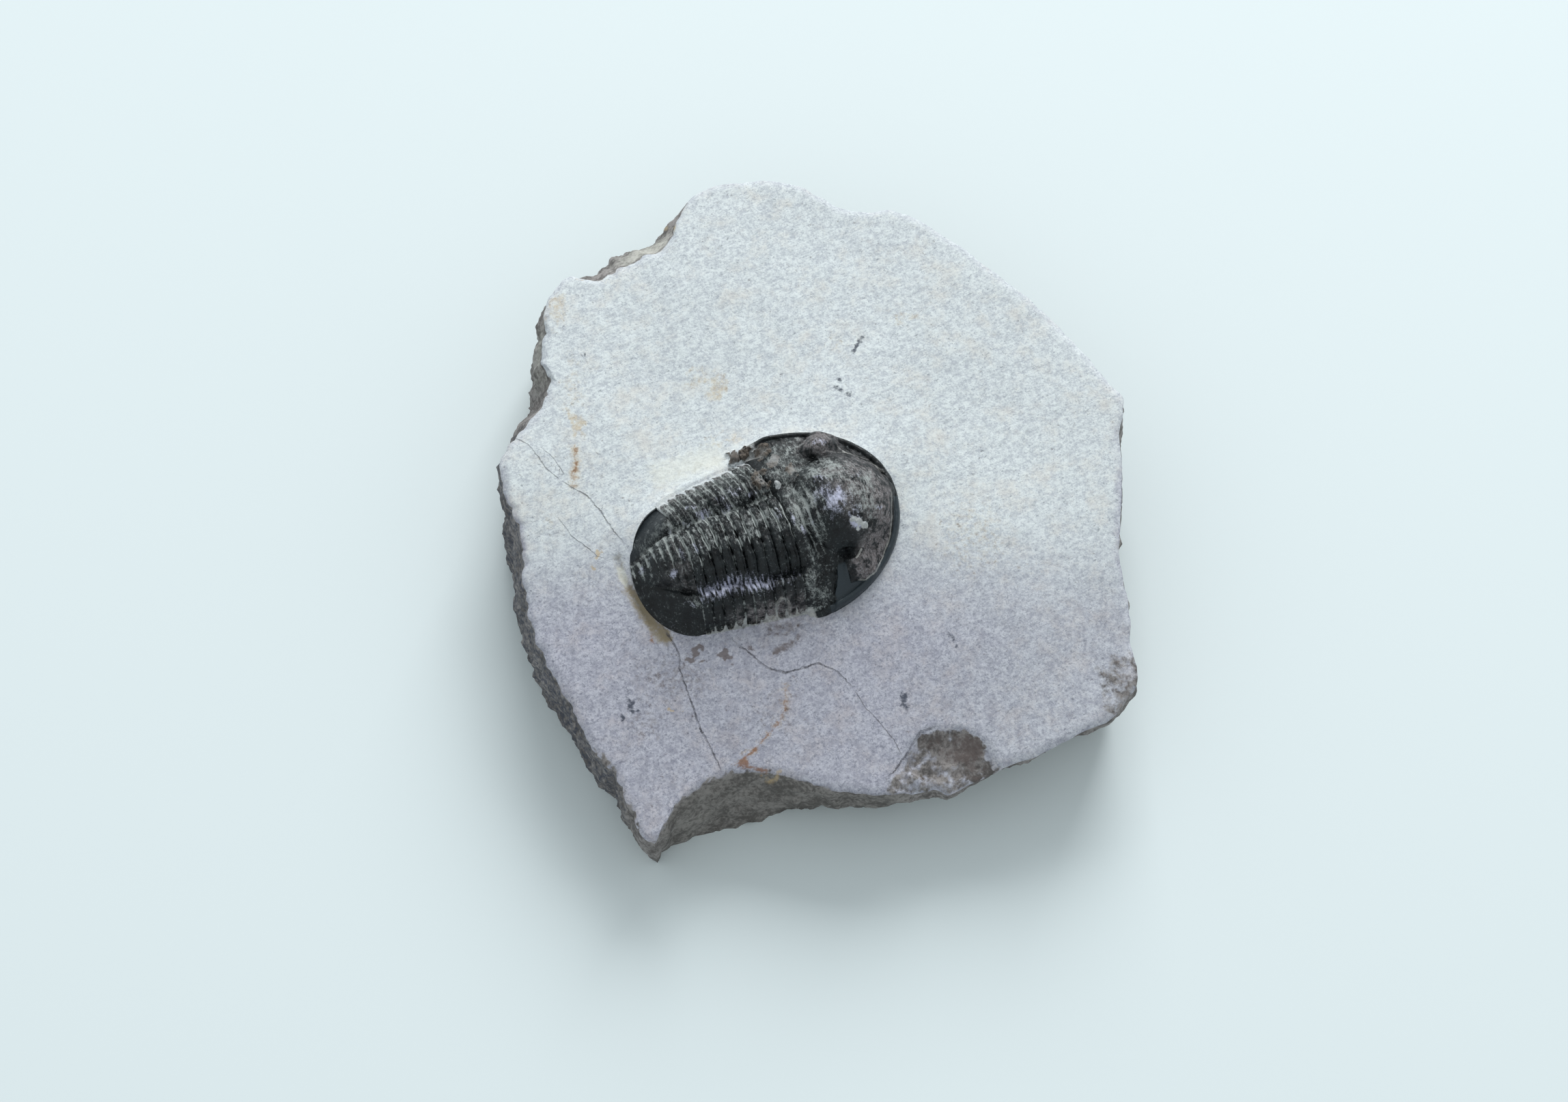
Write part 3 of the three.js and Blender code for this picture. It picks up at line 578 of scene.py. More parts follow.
def outline_reach(angle):
    """Reach of the trilobite's outline from its middle, in any direction: tail, trunk and head in turn."""
    sides = []
    for side, sign in (("left", 1), ("right", -1)):
        tail_turn = np.linspace(0, TAIL_TURN, OUTLINE_STEPS["tail"])
        head_turn = np.linspace(math.pi / 2, 0, OUTLINE_STEPS["head"])
        trunk = np.linspace(THORAX_START, THORAX_END, OUTLINE_STEPS["trunk"])
        trunk_v = sign * thorax_half_width(trunk, side)
        corner_v = sign * np.linspace(THORAX_HALF_WIDTH[side], HEAD_REACH[side], OUTLINE_STEPS["corner"])
        sides.append(np.concatenate([
            (THORAX_START * (1 - np.cos(tail_turn)),
             sign * (PYGIDIUM_HALF_WIDTH + PYGIDIUM_BLUNTNESS) * np.sin(tail_turn)),
            (trunk - sweep_back(trunk_v), trunk_v),
            (head_rear(corner_v), corner_v),
            (HEAD_CENTRE + HEAD_LENGTH * np.cos(head_turn),
             HEAD_TIP + sign * (HEAD_REACH[side] - sign * HEAD_TIP) * np.sin(head_turn))], axis=1))
    u, v = np.concatenate(sides, axis=1)
    middle = BODY_LENGTH / 2
    angles = np.arctan2(v, u - middle)
    order = np.argsort(angles)
    return np.interp(angle, angles[order], np.hypot(u - middle, v)[order], period=2 * math.pi)


def remnants(u, v):
    """Rise, cover and tone of what lies on the shell: ragged domes of limestone, and a small loop."""
    flat = level(u, v)
    ragged = REMNANT_RAGGEDNESS * fractal(flat, 0.9, 4, 40, 0.6)
    rise, cover, tone = (np.zeros(u.shape) for _ in range(3))
    for cu, cv, length, width, height, shade in REMNANTS:
        reach = np.hypot((u - cu) / length, (v - cv) / width)
        dome = np.maximum(1 - reach ** 2 + ragged, 0) * smooth_step(-reach, -1.5, -1.1)
        rise = np.maximum(rise, height * smooth_step(dome, 0, 1.1) * (1 + 0.4 * ragged))
        here = smooth_step(dome, 0.0, 0.6)
        tone = np.where(here > cover, shade, tone)
        cover = np.maximum(cover, here)
    from_line = np.hypot(u - SHELL_LOOP["u"], v - SHELL_LOOP["v"]) - SHELL_LOOP["radius"]
    loop = bell(from_line, SHELL_LOOP["width"]) * (1 + 0.5 * noise(flat, 0.6, 41))
    tone = np.where(loop > cover, SHELL_LOOP["tone"], tone)
    cover = np.maximum(cover, SHELL_LOOP["cover"] * smooth_step(loop, 0.3, 0.8))
    return rise + SHELL_LOOP["rise"] * loop, np.clip(cover, 0, 1), np.clip(tone + 0.3 * ragged, 0, 1)


def apron_height(u, v):
    """Rise of the matrix beside the trilobite's left, which falls away outward from its smoothed outline."""
    angle = np.arctan2(v, u - BODY_LENGTH / 2)
    turns = np.linspace(-APRON["spread"], APRON["spread"], APRON["samples"])
    outline = np.mean([outline_reach(angle + turn) for turn in turns], axis=0)
    away = np.maximum(np.hypot(u - BODY_LENGTH / 2, v) - outline, 0)
    return APRON["height"] * smooth_step(v, 0, APRON["full"]) * np.exp(-away / APRON["reach"])


def linear(code):
    """A colour written as six hexadecimal digits, as red, green and blue light."""
    shares = [int(code[k:k + 2], 16) / 255 for k in (0, 2, 4)]
    return tuple(c / 12.92 if c <= 0.04045 else ((c + 0.055) / 1.055) ** 2.4 for c in shares)


def colour_property(name, description, code):
    """A colour that the user can change, with its first value."""
    return bpy.props.FloatVectorProperty(
        name=name, description=description, subtype="COLOR", size=3, min=0, max=1, default=linear(code))


def length_property(name, description, millimetres):
    """A length that the user can change, with its first value."""
    return bpy.props.FloatProperty(
        name=name, description=description, unit="LENGTH", min=0, precision=5, default=millimetres * MM)


class StoneSettings(bpy.types.PropertyGroup):
    """Sizes and colours of the limestone."""
    relief: length_property("Face relief", "Height of the unevenness of the face", 0.15)
    wall_relief: length_property("Wall relief", "Depth of the broken shapes on the walls", 0.8)
    groove_depth: length_property("Groove depth", "Depth of the calcite groove at the tail", 0.3)
    pale: colour_property("Pale stone", "The lightest limestone", "e2e8e8")
    shade: colour_property("Shaded stone", "Limestone between its pale grains", "b8bdc3")
    weathered: colour_property("Broken stone", "Broken and weathered limestone", "5f5b59")
    ochre: colour_property("Ochre stain", "Yellow-brown stains", "c6ad82")
    rust: colour_property("Rust stain", "Orange-brown stains", "8a5d38")
    brown: colour_property("Brown stain", "Grey-brown stains", "6c615e")
    soil: colour_property("Soil", "Brown matter on the lumps beside the shell", "5a514a")
    dark: colour_property("Dark spots", "Blue-black spots", "3c4250")
    calcite: colour_property("Calcite", "The mineral in the groove at the tail", "94886f")
    chalk: colour_property("Chalk", "Powdery white stone beside the shell", "e6e6da")


class ShellSettings(bpy.types.PropertyGroup):
    """Sizes and colours of the trilobite."""
    ring_relief: length_property("Ring relief", "Height of the rings on the axis", 0.34)
    rib_relief: length_property("Rib relief", "Height of the ribs on the sides", 0.32)
    granules: length_property("Granules", "Height of the grains on the shell", 0.05)
    shell: colour_property("Shell", "The clean glossy shell", "0b0d0f")
    worn: colour_property("Worn shell", "The shell where it is dull", "282d2f")
    # This colour paints grey-green grains, and also painted light on the lit half of the axis and along its
    # left furrow
    haze: colour_property("Haze", "Grey-green mineral grains on the shell", "9a9f9d")
    # This colour paints pale dust, and also painted highlights beside the axis and on the ribs
    bloom: colour_property("Bloom", "Pale violet mineral dust in the furrows", "c6c8dc")
    brown: colour_property("Brown shell", "Brown shell on the head", "504a49")


class StageSettings(bpy.types.PropertyGroup):
    """Floor, light and camera."""
    floor: colour_property("Floor", "The pale floor", "e6eff0")
    key_power: bpy.props.FloatProperty(
        name="Key light", description="Power of the large light above", unit="POWER", min=0, default=8.6)
    sky: bpy.props.FloatProperty(
        name="Sky", description="Strength of the light from all sides", min=0, default=0.6)


class Signal:
    """A number that varies over a material; the usual signs join it to others by Math nodes."""

    def __init__(self, look, socket):
        self.look = look
        self.socket = socket

    def __add__(self, other):
        return self.look.sums("ADD", self, other)

    def __sub__(self, other):
        return self.look.sums("SUBTRACT", self, other)

    def __rsub__(self, other):
        return self.look.sums("SUBTRACT", other, self)

    def __mul__(self, other):
        return self.look.sums("MULTIPLY", self, other)

    __radd__ = __add__
    __rmul__ = __mul__

    def __abs__(self):
        return self.look.sums("ABSOLUTE", self)

    def step(self, low, high):
        """Smooth step from 0 at low to 1 at high."""
        inputs = {"Value": self, "From Min": low, "From Max": high}
        made = self.look.node("MapRange", inputs, interpolation_type="SMOOTHSTEP", clamp=True)
        return Signal(self.look, made.outputs["Result"])


class Look:
    """Adds nodes to one material and joins them."""

    def __init__(self, name):
        self.material = bpy.data.materials.new(name)
        self.material.use_nodes = True
        self.tree = self.material.node_tree
        self.shader = self.tree.nodes["Principled BSDF"]
        coordinates = self.node("TexCoord").outputs["Object"]
        self.place = self.node("Mapping", {"Vector": coordinates, "Scale": (1 / MM,) * 3}).outputs[0]

    def feed(self, socket, value):
        """Joins a signal or a node's output to an input, or sets the input to a plain value."""
        value = getattr(value, "socket", value)
        if isinstance(value, bpy.types.NodeSocket):
            self.tree.links.new(value, socket)
        else:
            socket.default_value = value

    def node(self, kind, inputs=None, **settings):
        """Adds a node, sets its settings and feeds its inputs."""
        made = self.tree.nodes.new("ShaderNode" + kind)
        for key, value in settings.items():
            setattr(made, key, value)
        for key, value in (inputs or {}).items():
            self.feed(made.inputs[key], value)
        return made

    def trait(self, name):
        """The value of a mesh attribute."""
        return Signal(self, self.node("Attribute", attribute_name=name).outputs["Fac"])

    def grain(self, size, detail, roughness, stretch=1, turn=0.0):
        """Noise of 0 to 1 whose grains have this size in millimetres, stretched along a direction."""
        where = self.place
        if stretch != 1:
            turned = {"Vector": where, "Rotation": (0, 0, turn), "Scale": (stretch, 1, 1)}
            where = self.node("Mapping", turned, vector_type="TEXTURE").outputs[0]
        inputs = {"Vector": where, "Scale": 1 / size, "Detail": detail, "Roughness": roughness}
        return Signal(self, self.node("TexNoise", inputs).outputs["Fac"])

    def sums(self, operation, *values):
        """One Math node, fed in order."""
        return Signal(self, self.node("Math", dict(enumerate(values)), operation=operation).outputs[0])

    def largest(self, *signals):
        """The largest of some signals."""
        most = signals[0]
        for signal in signals[1:]:
            most = self.sums("MAXIMUM", most, signal)
        return most

    def blend(self, share, first, second, mode="MIX"):
        """Mixes two colours by a share."""
        made = self.node("Mix", {0: share}, data_type="RGBA", blend_type=mode)
        for index, colour in ((6, first), (7, second)):
            joined = isinstance(colour, bpy.types.NodeSocket)
            self.feed(made.inputs[index], colour if joined else (*colour, 1))
        return made.outputs[2]

    def bump(self, height, depth):
        """Turns a height of 0 to 1 to a normal, for a depth in millimetres."""
        inputs = {"Height": height, "Distance": depth * MM, "Strength": 1.0}
        return self.node("Bump", inputs).outputs[0]

    def join(self, **sockets):
        """Sets or joins the shader's inputs, named with _ for a space."""
        for key, value in sockets.items():
            self.feed(self.shader.inputs[key.replace("_", " ")], value)
        return self.material


# Flecks of the limestone: grain size, stretch, turn in degrees, lowest share, colour and strength
FLECKS = [
    (0.35, 1.8, 28, 0.62, "6a7079", 0.5),
    (0.6, 2.6, 50, 0.64, "868d96", 0.4),
    (0.22, 1, 0, 0.6, "8c9299", 0.6),
]
FLECK_SOFTNESS = 0.11

# Speckle of the near facet: grain size, lowest share, colour and strength
SPECKLE = [
    (0.28, 0.5, "777986", 0.6),
    (1.1, 0.48, "8f8f9c", 0.4),
    (0.34, 0.6, "5e606c", 0.75),
]
SPECKLE_SOFTNESS = 0.16

# Colours that go with those of the settings
WARM_PATCH = "dad2c6"
COOL_PATCH = "b9bfc2"
# Painted shade: the lilac-grey tint multiplied over the near facet and the rim
NEAR_SHADE_TINT = "dcd6e2"
BROKEN_PALE = "979290"
OLIVE_DARK = "5c5956"
OLIVE_PALE = "8c8884"
CRACK_TONE = "47464b"
# Painted sheen: the blue-grey laid over polished shell
PAINTED_SHEEN_TONE = "384147"
BROWN_PALE = "938e90"
SOIL_DARK = "433c37"
SOIL_PALE = "71685f"
LINE_TONE = "a9a8a4"

# Stains, each both a trait and a colour of the stone, with its strength and its unevenness; dark also paints
# shade on the left walls, and soil a shadow under the shard
STAINS = {
    "ochre": (0.6, 1.4), "rust": (0.75, 2.2), "brown": (0.8, 1.8), "soil": (0.95, 1.2),
    "dark": (0.85, 2.6), "calcite": (0.85, 1.2), "chalk": (0.5, 1.2),
}


def limestone_ground(look):
    """Colour and grain height of pale limestone: fine blue-grey grains, faint scratches and small flecks."""
    settings = bpy.context.scene.trilobite_stone
    scratches = look.grain(0.2, 3, 0.6, 5, math.radians(28))
    mixed = 0.4 * look.grain(0.2, 3, 0.7) + 0.4 * look.grain(0.6, 4, 0.7) + 0.2 * scratches
    warm = look.grain(3.2, 5, 0.75).step(0.45, 0.72)
    cool = look.grain(1.0, 5, 0.8).step(0.5, 0.7)
    base = look.blend(mixed.step(0.38, 0.6), settings.shade, settings.pale)
    base = look.blend(0.4 * warm, base, linear(WARM_PATCH))
    base = look.blend(0.35 * cool, base, linear(COOL_PATCH))
    for size, stretch, turn, low, tone, strength in FLECKS:
        share = look.grain(size, 3, 0.65, stretch, math.radians(turn)).step(low, low + FLECK_SOFTNESS)
        base = look.blend(strength * share, base, linear(tone))
    return base, mixed


def limestone_material(settings):
    """Pale limestone, then in turn painted shade on its near facet and rim, broken stone, stains and cracks.
    """
    look = Look("pale_limestone")
    base, grain = limestone_ground(look)
    # Painted shade: the near facet and the rim darkened with a lilac-grey tint
    facet = look.trait("near_facet_shade")
    base = look.blend(0.9 * facet, base, linear(NEAR_SHADE_TINT), "MULTIPLY")
    for size, low, tone, strength in SPECKLE:
        share = look.grain(size, 4, 0.7).step(low, low + SPECKLE_SOFTNESS)
        base = look.blend(share * facet * strength, base, linear(tone))

    worn = (look.trait("weathered") + 0.8 * look.grain(0.9, 5, 0.65)).step(0.75, 1.0)
    shards = 0.45 * look.grain(2.2, 3, 0.6) + 0.55 * look.grain(0.4, 4, 0.7)
    broken = look.blend(shards.step(0.4, 0.6), settings.weathered, linear(BROKEN_PALE))
    base = look.blend(worn, base, broken)
    olive = look.blend(shards.step(0.4, 0.62), linear(OLIVE_DARK), linear(OLIVE_PALE))
    base = look.blend(0.85 * look.trait("olive"), base, olive)

    ragged = look.grain(0.45, 4, 0.65) - 0.5
    for name, (strength, uneven) in STAINS.items():
        share = (look.trait(name) + uneven * ragged).step(0.25, 1.05)
        base = look.blend(strength * share, base, getattr(settings, name))

    wander = 5.0 * (look.grain(0.5, 4, 0.7) - 0.5)
    crack = abs(look.trait("crack_side") + wander).step(0.3, 1.1)
    crack = (1 - crack) * look.trait("crack_near")
    faint = 0.6 * look.grain(0.8, 3, 0.6).step(0.4, 0.6) + 0.35
    base = look.blend(crack * faint, base, linear(CRACK_TONE))
    height = 1.2 * grain + 0.5 * look.grain(1.3, 4, 0.65) - crack
    return look.join(
        Base_Color=base, Roughness=0.92, Specular_IOR_Level=0.25, Normal=look.bump(height, 0.07))


def shell_material(settings):
    """Dark glossy shell with a painted blue-grey sheen where polished, then in turn brown shell, haze with
    painted light, pale dust with painted highlights, limestone left on it and pale lines.
    """
    look = Look("dark_shell")
    grain = look.grain(0.27, 3, 0.6)
    streak = look.grain(0.17, 3, 0.6, 3.5, HEADING + math.pi / 2)
    speck = 0.35 * look.grain(0.11, 3, 0.65) + 0.25 * grain + 0.4 * streak
    mottle = look.grain(1.1, 4, 0.6)
    blotch = 0.5 * mottle + 0.5 * look.grain(0.5, 4, 0.7)
    clean = look.trait("polish")
    rough = 1 - 0.85 * clean
    wear = (mottle + 0.6 * grain).step(0.6, 1.0) * rough
    base = look.blend(wear, settings.shell, settings.worn)
    # Painted sheen: polished shell lightened to blue-grey
    base = look.blend(0.8 * clean.step(0.4, 0.9), base, linear(PAINTED_SHEEN_TONE))

    brown = look.trait("brown") * blotch.step(0.42, 0.56)
    tint = look.blend(speck.step(0.35, 0.68), settings.brown, linear(BROWN_PALE))
    base = look.blend(brown, base, tint)
    haze = (speck + 0.3 * look.trait("haze") + 0.7 * (blotch - 0.5)).step(0.58, 0.84)
    base = look.blend(haze * rough, base, settings.haze)
    # Pale dust, and painted highlights beside the axis and on the ribs, in the same pale violet
    dust = (speck + 0.28 * look.trait("bloom")).step(0.57, 0.9)
    base = look.blend(dust * rough, base, settings.bloom)

    ground = limestone_ground(look)[0]
    soil = look.blend(speck.step(0.4, 0.6), linear(SOIL_DARK), linear(SOIL_PALE))
    crust = (look.trait("crust") + (grain - 0.5)).step(0.2, 0.8)
    base = look.blend(crust, base, look.blend(look.trait("crust_tone"), ground, soil))
    line = (look.trait("pale_line") + 0.8 * (grain - 0.5)).step(0.3, 0.9)
    base = look.blend(0.85 * line, base, linear(LINE_TONE))
    dull = look.largest(crust, dust, haze, brown, wear)
    return look.join(
        Base_Color=base, Roughness=0.5 * dull + 0.25, Specular_IOR_Level=0.3,
        Normal=look.bump(speck * rough, 0.09))


def shared_material(name, make, settings):
    """A material made once and used by all pieces of its kind."""
    return bpy.data.materials.get(name) or make(settings)


# Pale dust, with painted highlights on the trunk, and haze on the shell: u, v, half length, half width, turn
# in radians and strength
TRUNK_DUST_AND_HIGHLIGHT = [
    (7.8, 3.6, 1.2, 0.7, 0.0, 1.0), (11.0, 4.6, 1.4, 0.9, -0.3, 0.7), (9.6, 4.4, 1.2, 0.8, 0.0, 0.6),
    (12.4, 3.8, 0.8, 0.5, 0.0, 0.7), (13.9, 0.9, 0.5, 1.2, 0.0, 0.5), (6.2, 3.3, 0.8, 0.6, 0.0, 0.7),
    (6.0, 0.4, 0.8, 1.0, 0.0, 0.6), (7.0, 4.6, 1.0, 0.6, 0.0, 0.9), (9.9, 3.4, 0.9, 0.7, 0.0, 0.9),
]
TAIL_BLOOM = [
    (4.3, 3.2, 0.5, 0.7, 0.0, 0.7), (1.0, 0.95, 0.5, 0.6, 0.0, 0.7), (3.4, -0.9, 0.7, 0.5, 0.6, 1.0),
    (4.0, -3.8, 0.9, 0.4, -0.7, 0.9), (4.6, 0.3, 0.4, 1.3, 0.0, 0.6), (2.1, 1.4, 0.8, 0.5, 0.3, 0.5),
    (2.0, -4.6, 0.5, 0.4, 0.0, 0.4),
]
HEAD_BLOOM = [
    (19.3, 0.1, 3.6, 2.1, -0.95, 0.9), (18.4, 2.6, 1.0, 0.7, -0.5, 0.9), (21.9, 2.1, 0.9, 0.5, 0.3, 0.6),
    (20.3, -2.0, 1.0, 0.8, -0.6, 1.1), (22.9, -1.2, 0.5, 0.3, 0.0, 0.8), (18.3, -1.1, 0.3, 0.6, 0.0, 0.9),
    (15.0, 0.1, 0.35, 1.0, 0.1, 0.8), (15.6, -1.2, 0.35, 1.0, 0.1, 0.7), (16.6, -0.4, 0.35, 1.2, 0.1, 0.6),
    (17.4, 0.4, 0.4, 1.0, 0.1, 0.6), (19.9, 6.4, 1.1, 0.7, 0.0, 0.6),
]
HEAD_HAZE = [
    (16.4, 5.2, 3.4, 4.0, 0.0, 0.4), (19.5, 3.4, 3.6, 2.2, -0.3, 0.55), (16.3, 1.0, 2.8, 4.0, 0.0, 0.45),
    (15.0, -6.4, 2.2, 3.6, 0.0, 0.35), (22.0, 0.0, 3.4, 4.6, 0.0, 0.5), (16.4, -3.2, 2.4, 2.6, 0.0, 0.3),
    (17.5, 7.6, 3.0, 1.2, 0.1, 0.5),
]

# Brown shell on the head, and grained shell on the tail, written the same way
HEAD_BROWN = [
    (22.0, 0.9, 4.2, 5.4, 0.0, 1.0), (20.0, 6.9, 2.8, 2.4, 0.0, 1.2), (19.6, 3.1, 1.4, 1.0, -0.3, 1.0),
]
TAIL_RUGGED = [(4.6, 2.8, 0.8, 2.2, 0.0, 1.0), (4.3, -3.6, 1.4, 1.2, 0.0, 0.8)]

# Ring lines on the axis are clearest here
CLEAR_LINES = {"u": 8, "length": 2.6}

# Soft steps of colour on the trunk, as where each starts and ends: along u, then to the right
FURROW_DUST_START = (3.5, 6)
FURROW_DUST_FADE = (10.5, 12.5)
RIB_BROWN_START = (6.0, 9.0)
RIGHT_HAZE = (5.2, 7.0)
RIGHT_BROWN = (5.0, 7.0)

# Soft steps on the tail, along u: its rings, ribs, furrows and brown axis
TAIL_RINGS_START = (1.0, 2.4)
TAIL_RIBS_START = (2.6, 5)
TAIL_FURROW_START = (1.2, 2.5)
TAIL_BROWN_START = (1.5, 4)

# Fine relief: the furrow beside the axis, how much it calms the ribs, and the tail's rings and ribs
FURROW = {"width": 0.35, "depth": 0.2, "calm": 0.6}
TAIL_RELIEF = {"ring": 0.2, "rib": 0.1, "furrow": 0.2}

# Soft steps at a plate's side edge, negative inward: its fall to the stone, and the stone that laps over it
EDGE_BAND = (-0.9, -0.25)
LAP_BAND = (-0.3, 0.0)

# Soft steps on the head: of the brown flank along u, to the right and across it, and of the right cheek
FLANK_START = (18.5, 19.6)
FLANK_SIDE = (-1.2, 0.0)
FLANK_WIDTH = (1.2, 2.8)
GLOSSY_CHEEK_SIDE = (4.2, 5.0)
CHEEK_STEP_SIDE = (4.0, 5.0)

# The glossy border: its width, and where it starts along u
GLOSSY_BORDER = {"width": 0.5, "u": 16}

# The head: heights of its fine forms, and half widths of its lines
HEAD_FORMS = {"flank": 0.22, "stripes": 0.12, "hollow": 0.6, "suture": 0.08, "shard": 0.12, "step": 0.3}
SUTURE_WIDTH = 0.1
SHARD_WIDTH = 0.08
PALE_LINE_WIDTH = 0.09

# The head's rear: the groove and ridge at the joint, then soft steps to its own form and at its corners
HEAD_JOINT = {"depth": 0.25, "width": 0.15, "ridge": 0.1, "at": 0.5, "ridgeWidth": 0.35}
HEAD_BLEND = (0.2, 2.4)
CORNER_BAND = (-0.9, -0.1)
CORNER_END = (14.0, 15.4)


def patches(u, v, places):
    """The strongest of a list of soft oval patches at each point."""
    return np.max([row[5] * spot(u, v, row[:2], row[2:4], row[4]) for row in places], axis=0)


def ground_level(u, v):
    """Height of the stone's face above the trilobite's datum, at a place on the trilobite."""
    x, y = to_stone(u, v * math.cos(ROLL))
    face = stone_face(x, y, bpy.context.scene.trilobite_stone)
    return (face - DATUM - v * math.sin(ROLL)) / math.cos(ROLL)


def side_veil(v, half_width, rib, flat):
    """Ragged cover of the limestone at the ends of the ribs, which reaches further inward between them."""
    inside = half_width - np.abs(v)
    reach = np.where(v > 0, 0.45 + 0.9 * (1 - rib), 0.15 + 0.5 * (1 - rib))
    reach = reach * (1 + 0.7 * noise(flat, 1.7, 61)) + 0.35 * fractal(flat, 0.6, 3, 60)
    return smooth_step(reach - inside, -0.15, 0.2) * smooth_step(-inside, -2.4, -1.6)


def ring_profile(s):
    """Height across an axial ring: one broad ridge with a low step near its front."""
    return bump(s, 0.42, 0.4) + 0.55 * bump(s, 0.88, 0.11, 0.8)


def rib_profile(s):
    """Height across a rib: a broad ridge with a faint furrow along it."""
    return bump(s, 0.5, 0.47) - 0.25 * bell(s - 0.58, 0.1)


def trunk_relief(u, v, s, flat, settings):
    """Rings on the axis and ribs on the sides, uneven, blended at the furrow, which is sunk."""
    out = np.abs(from_axis(u, v)) - axis_half_width(u)
    on_axis = 1 - smooth_step(out, -0.45, 0.1)
    uneven = 1 + 0.6 * noise(flat, 1.1, 81)
    rings = settings.ring_relief / MM * (ring_profile(s) - 0.5) * uneven
    ribs = settings.rib_relief / MM * (rib_profile(s) - 0.4) * uneven
    furrow = bell(out, FURROW["width"])
    ribs = (1 - on_axis) * ribs * (1 - FURROW["calm"] * furrow)
    return on_axis * rings + ribs - FURROW["depth"] * furrow


def granules(flat, settings, size=0.3):
    """Small grains that stand out of the shell, raised where the noise is high."""
    grains = fractal(flat, size, 3, 20) + 1.4 * np.maximum(noise(flat, 0.55, 27), 0) ** 2
    return settings.granules / MM * grains


def shell_traits(like, **given):
    """A value per point for each trait of the shell, 0 where none is given."""
    return {name: given.get(name, np.zeros(like.shape)) for name in SHELL_TRAITS}


def ring_colours(u, v, s, half_width, flat):
    """Haze in lines at a ring's joints, laid heavier on the axis's lit half as painted light; pale dust with
    a painted highlight in its right furrow and in patches; and brown at its rib ends.
    """
    axial = from_axis(u, v)
    out = np.abs(axial) - axis_half_width(u)
    on_axis = 1 - smooth_step(out, -0.2, 0.1)
    # lit is the half of the axis that faces the lamp; haze laid heavier there and along the left furrow is
    # painted light
    lit = smooth_step(axial, -1.8, 0.6)
    joint = np.clip(1 - np.minimum(s, 1 - s) / 0.17, 0, 1) ** 0.8
    middle = bell(s - 0.55, 0.07)
    streaks = noise(flat * (2.0, 0.7, 1), 0.45, 31)
    patchy = np.clip(0.75 + 0.8 * noise(flat, 2.0, 32) + 0.9 * streaks, 0, 1.4)

    clear = 0.6 + 0.6 * bell(u - CLEAR_LINES["u"], CLEAR_LINES["length"])
    lines = on_axis * (0.2 + 1.5 * lit) * joint ** 0.7 * patchy * clear
    web = (1 - on_axis) * np.where(v > 0, 0.85, 0.65) * np.maximum(joint, 0.5 * middle)
    haze = (lines + web + on_axis * (0.05 + 0.4 * lit)) * patchy
    haze = haze + (v > 0) * (0.3 * (1 - on_axis) + 0.6 * bell(out, 0.25) * patchy)
    haze = haze + 0.45 * smooth_step(v - half_width, -2.4, -0.8) + 0.3 * smooth_step(-v, *RIGHT_HAZE)

    # Painted highlight: a pale violet band in the right furrow, where the inner ribs face the lamp, laid in
    # with the dust
    furrow = bell(out - 0.35, 0.75) * (v < 0) * smooth_step(u, *FURROW_DUST_START)
    furrow = furrow * (1 - 0.75 * smooth_step(u, *FURROW_DUST_FADE)) * (0.5 + 0.8 * patchy)
    bloom = furrow * (0.8 + 1.2 * noise(flat * (3.0, 0.8, 1), 0.6, 37) + 0.5 * joint)
    patch_dust_and_highlight = patches(u, v, TRUNK_DUST_AND_HIGHLIGHT) * (0.6 + 0.8 * np.maximum(joint, middle)) * patchy
    forward = np.where(v > 0, 1, smooth_step(u, *RIB_BROWN_START))
    tips = bell(half_width - np.abs(v) - 0.7, 0.6) * np.clip(rib_profile(s), 0, 1) * forward
    brown = tips + 0.25 * smooth_step(-v, *RIGHT_BROWN) * forward
    return {"bloom": np.maximum(bloom, patch_dust_and_highlight), "haze": haze * (1 - 0.5 * tips), "brown": brown}


def thorax_ring(index, settings, material):
    """One ring of the trunk: body section plus relief, grains, veil and limestone left on it."""
    number = SEGMENT_COUNT - 1 - index
    ahead = THORAX_START + SEGMENT_PITCH * number + np.linspace(0, SEGMENT_PITCH, THORAX_GRID[1])
    left, right = thorax_half_width(ahead, "left"), thorax_half_width(ahead, "right")
    v, s = plate_grid(left, right, THORAX_GRID)
    rear, front = joint_line(number, v) + SEGMENT_GAP / 2, joint_line(number + 1, v) - SEGMENT_GAP / 2
    u = rear + s * (front - rear)
    half_width = np.where(v > 0, left, right)
    flat = level(u, v)
    waved = s + 4 * s * (1 - s) * (0.12 * noise(flat, 1.3, 83) + 0.07 * noise(flat, 0.5, 84))

    rise, cover, tone = remnants(u, v)
    veil = side_veil(v, half_width, np.clip(rib_profile(waved), 0, 1), flat)
    edge = smooth_step(np.abs(v) - half_width, *EDGE_BAND)
    w = body_height(u, v, half_width) + trunk_relief(u, v, waved, flat, settings)
    w = w + (1 + (v > 0)) * granules(flat, settings) + 0.07 * fractal(flat, 1.6, 3, 24)
    w = w + 0.08 * veil + edge * (ground_level(u, v) - EDGE_SINK - w) + rise * (1 - edge)

    veil_tone = np.where(v > 0, 0.1, 0.45) + 0.5 * smooth_step(-veil, -0.9, -0.4)
    tone = np.where(veil > cover, veil_tone, tone)
    lap = smooth_step(np.abs(v) - half_width, *LAP_BAND)
    cover = np.max([cover, veil * np.where(v > 0, 1, 0.8), lap], axis=0)
    colours = ring_colours(u, v, waved, half_width, flat)
    traits = shell_traits(u, crust=cover, crust_tone=tone, **colours)
    piece = build_plate(f"thorax_ring_{index + 1:02d}", place(u, v, w), traits, material)
    finish_piece(piece, f"thorax_segment_{index + 1:02d}")


def tail_margin(v):
    """Margin of the tail shield: an ellipse, cut off a little inside its ends."""
    return THORAX_START * (1 - np.sqrt(1 - (v / (PYGIDIUM_HALF_WIDTH + PYGIDIUM_BLUNTNESS)) ** 2))


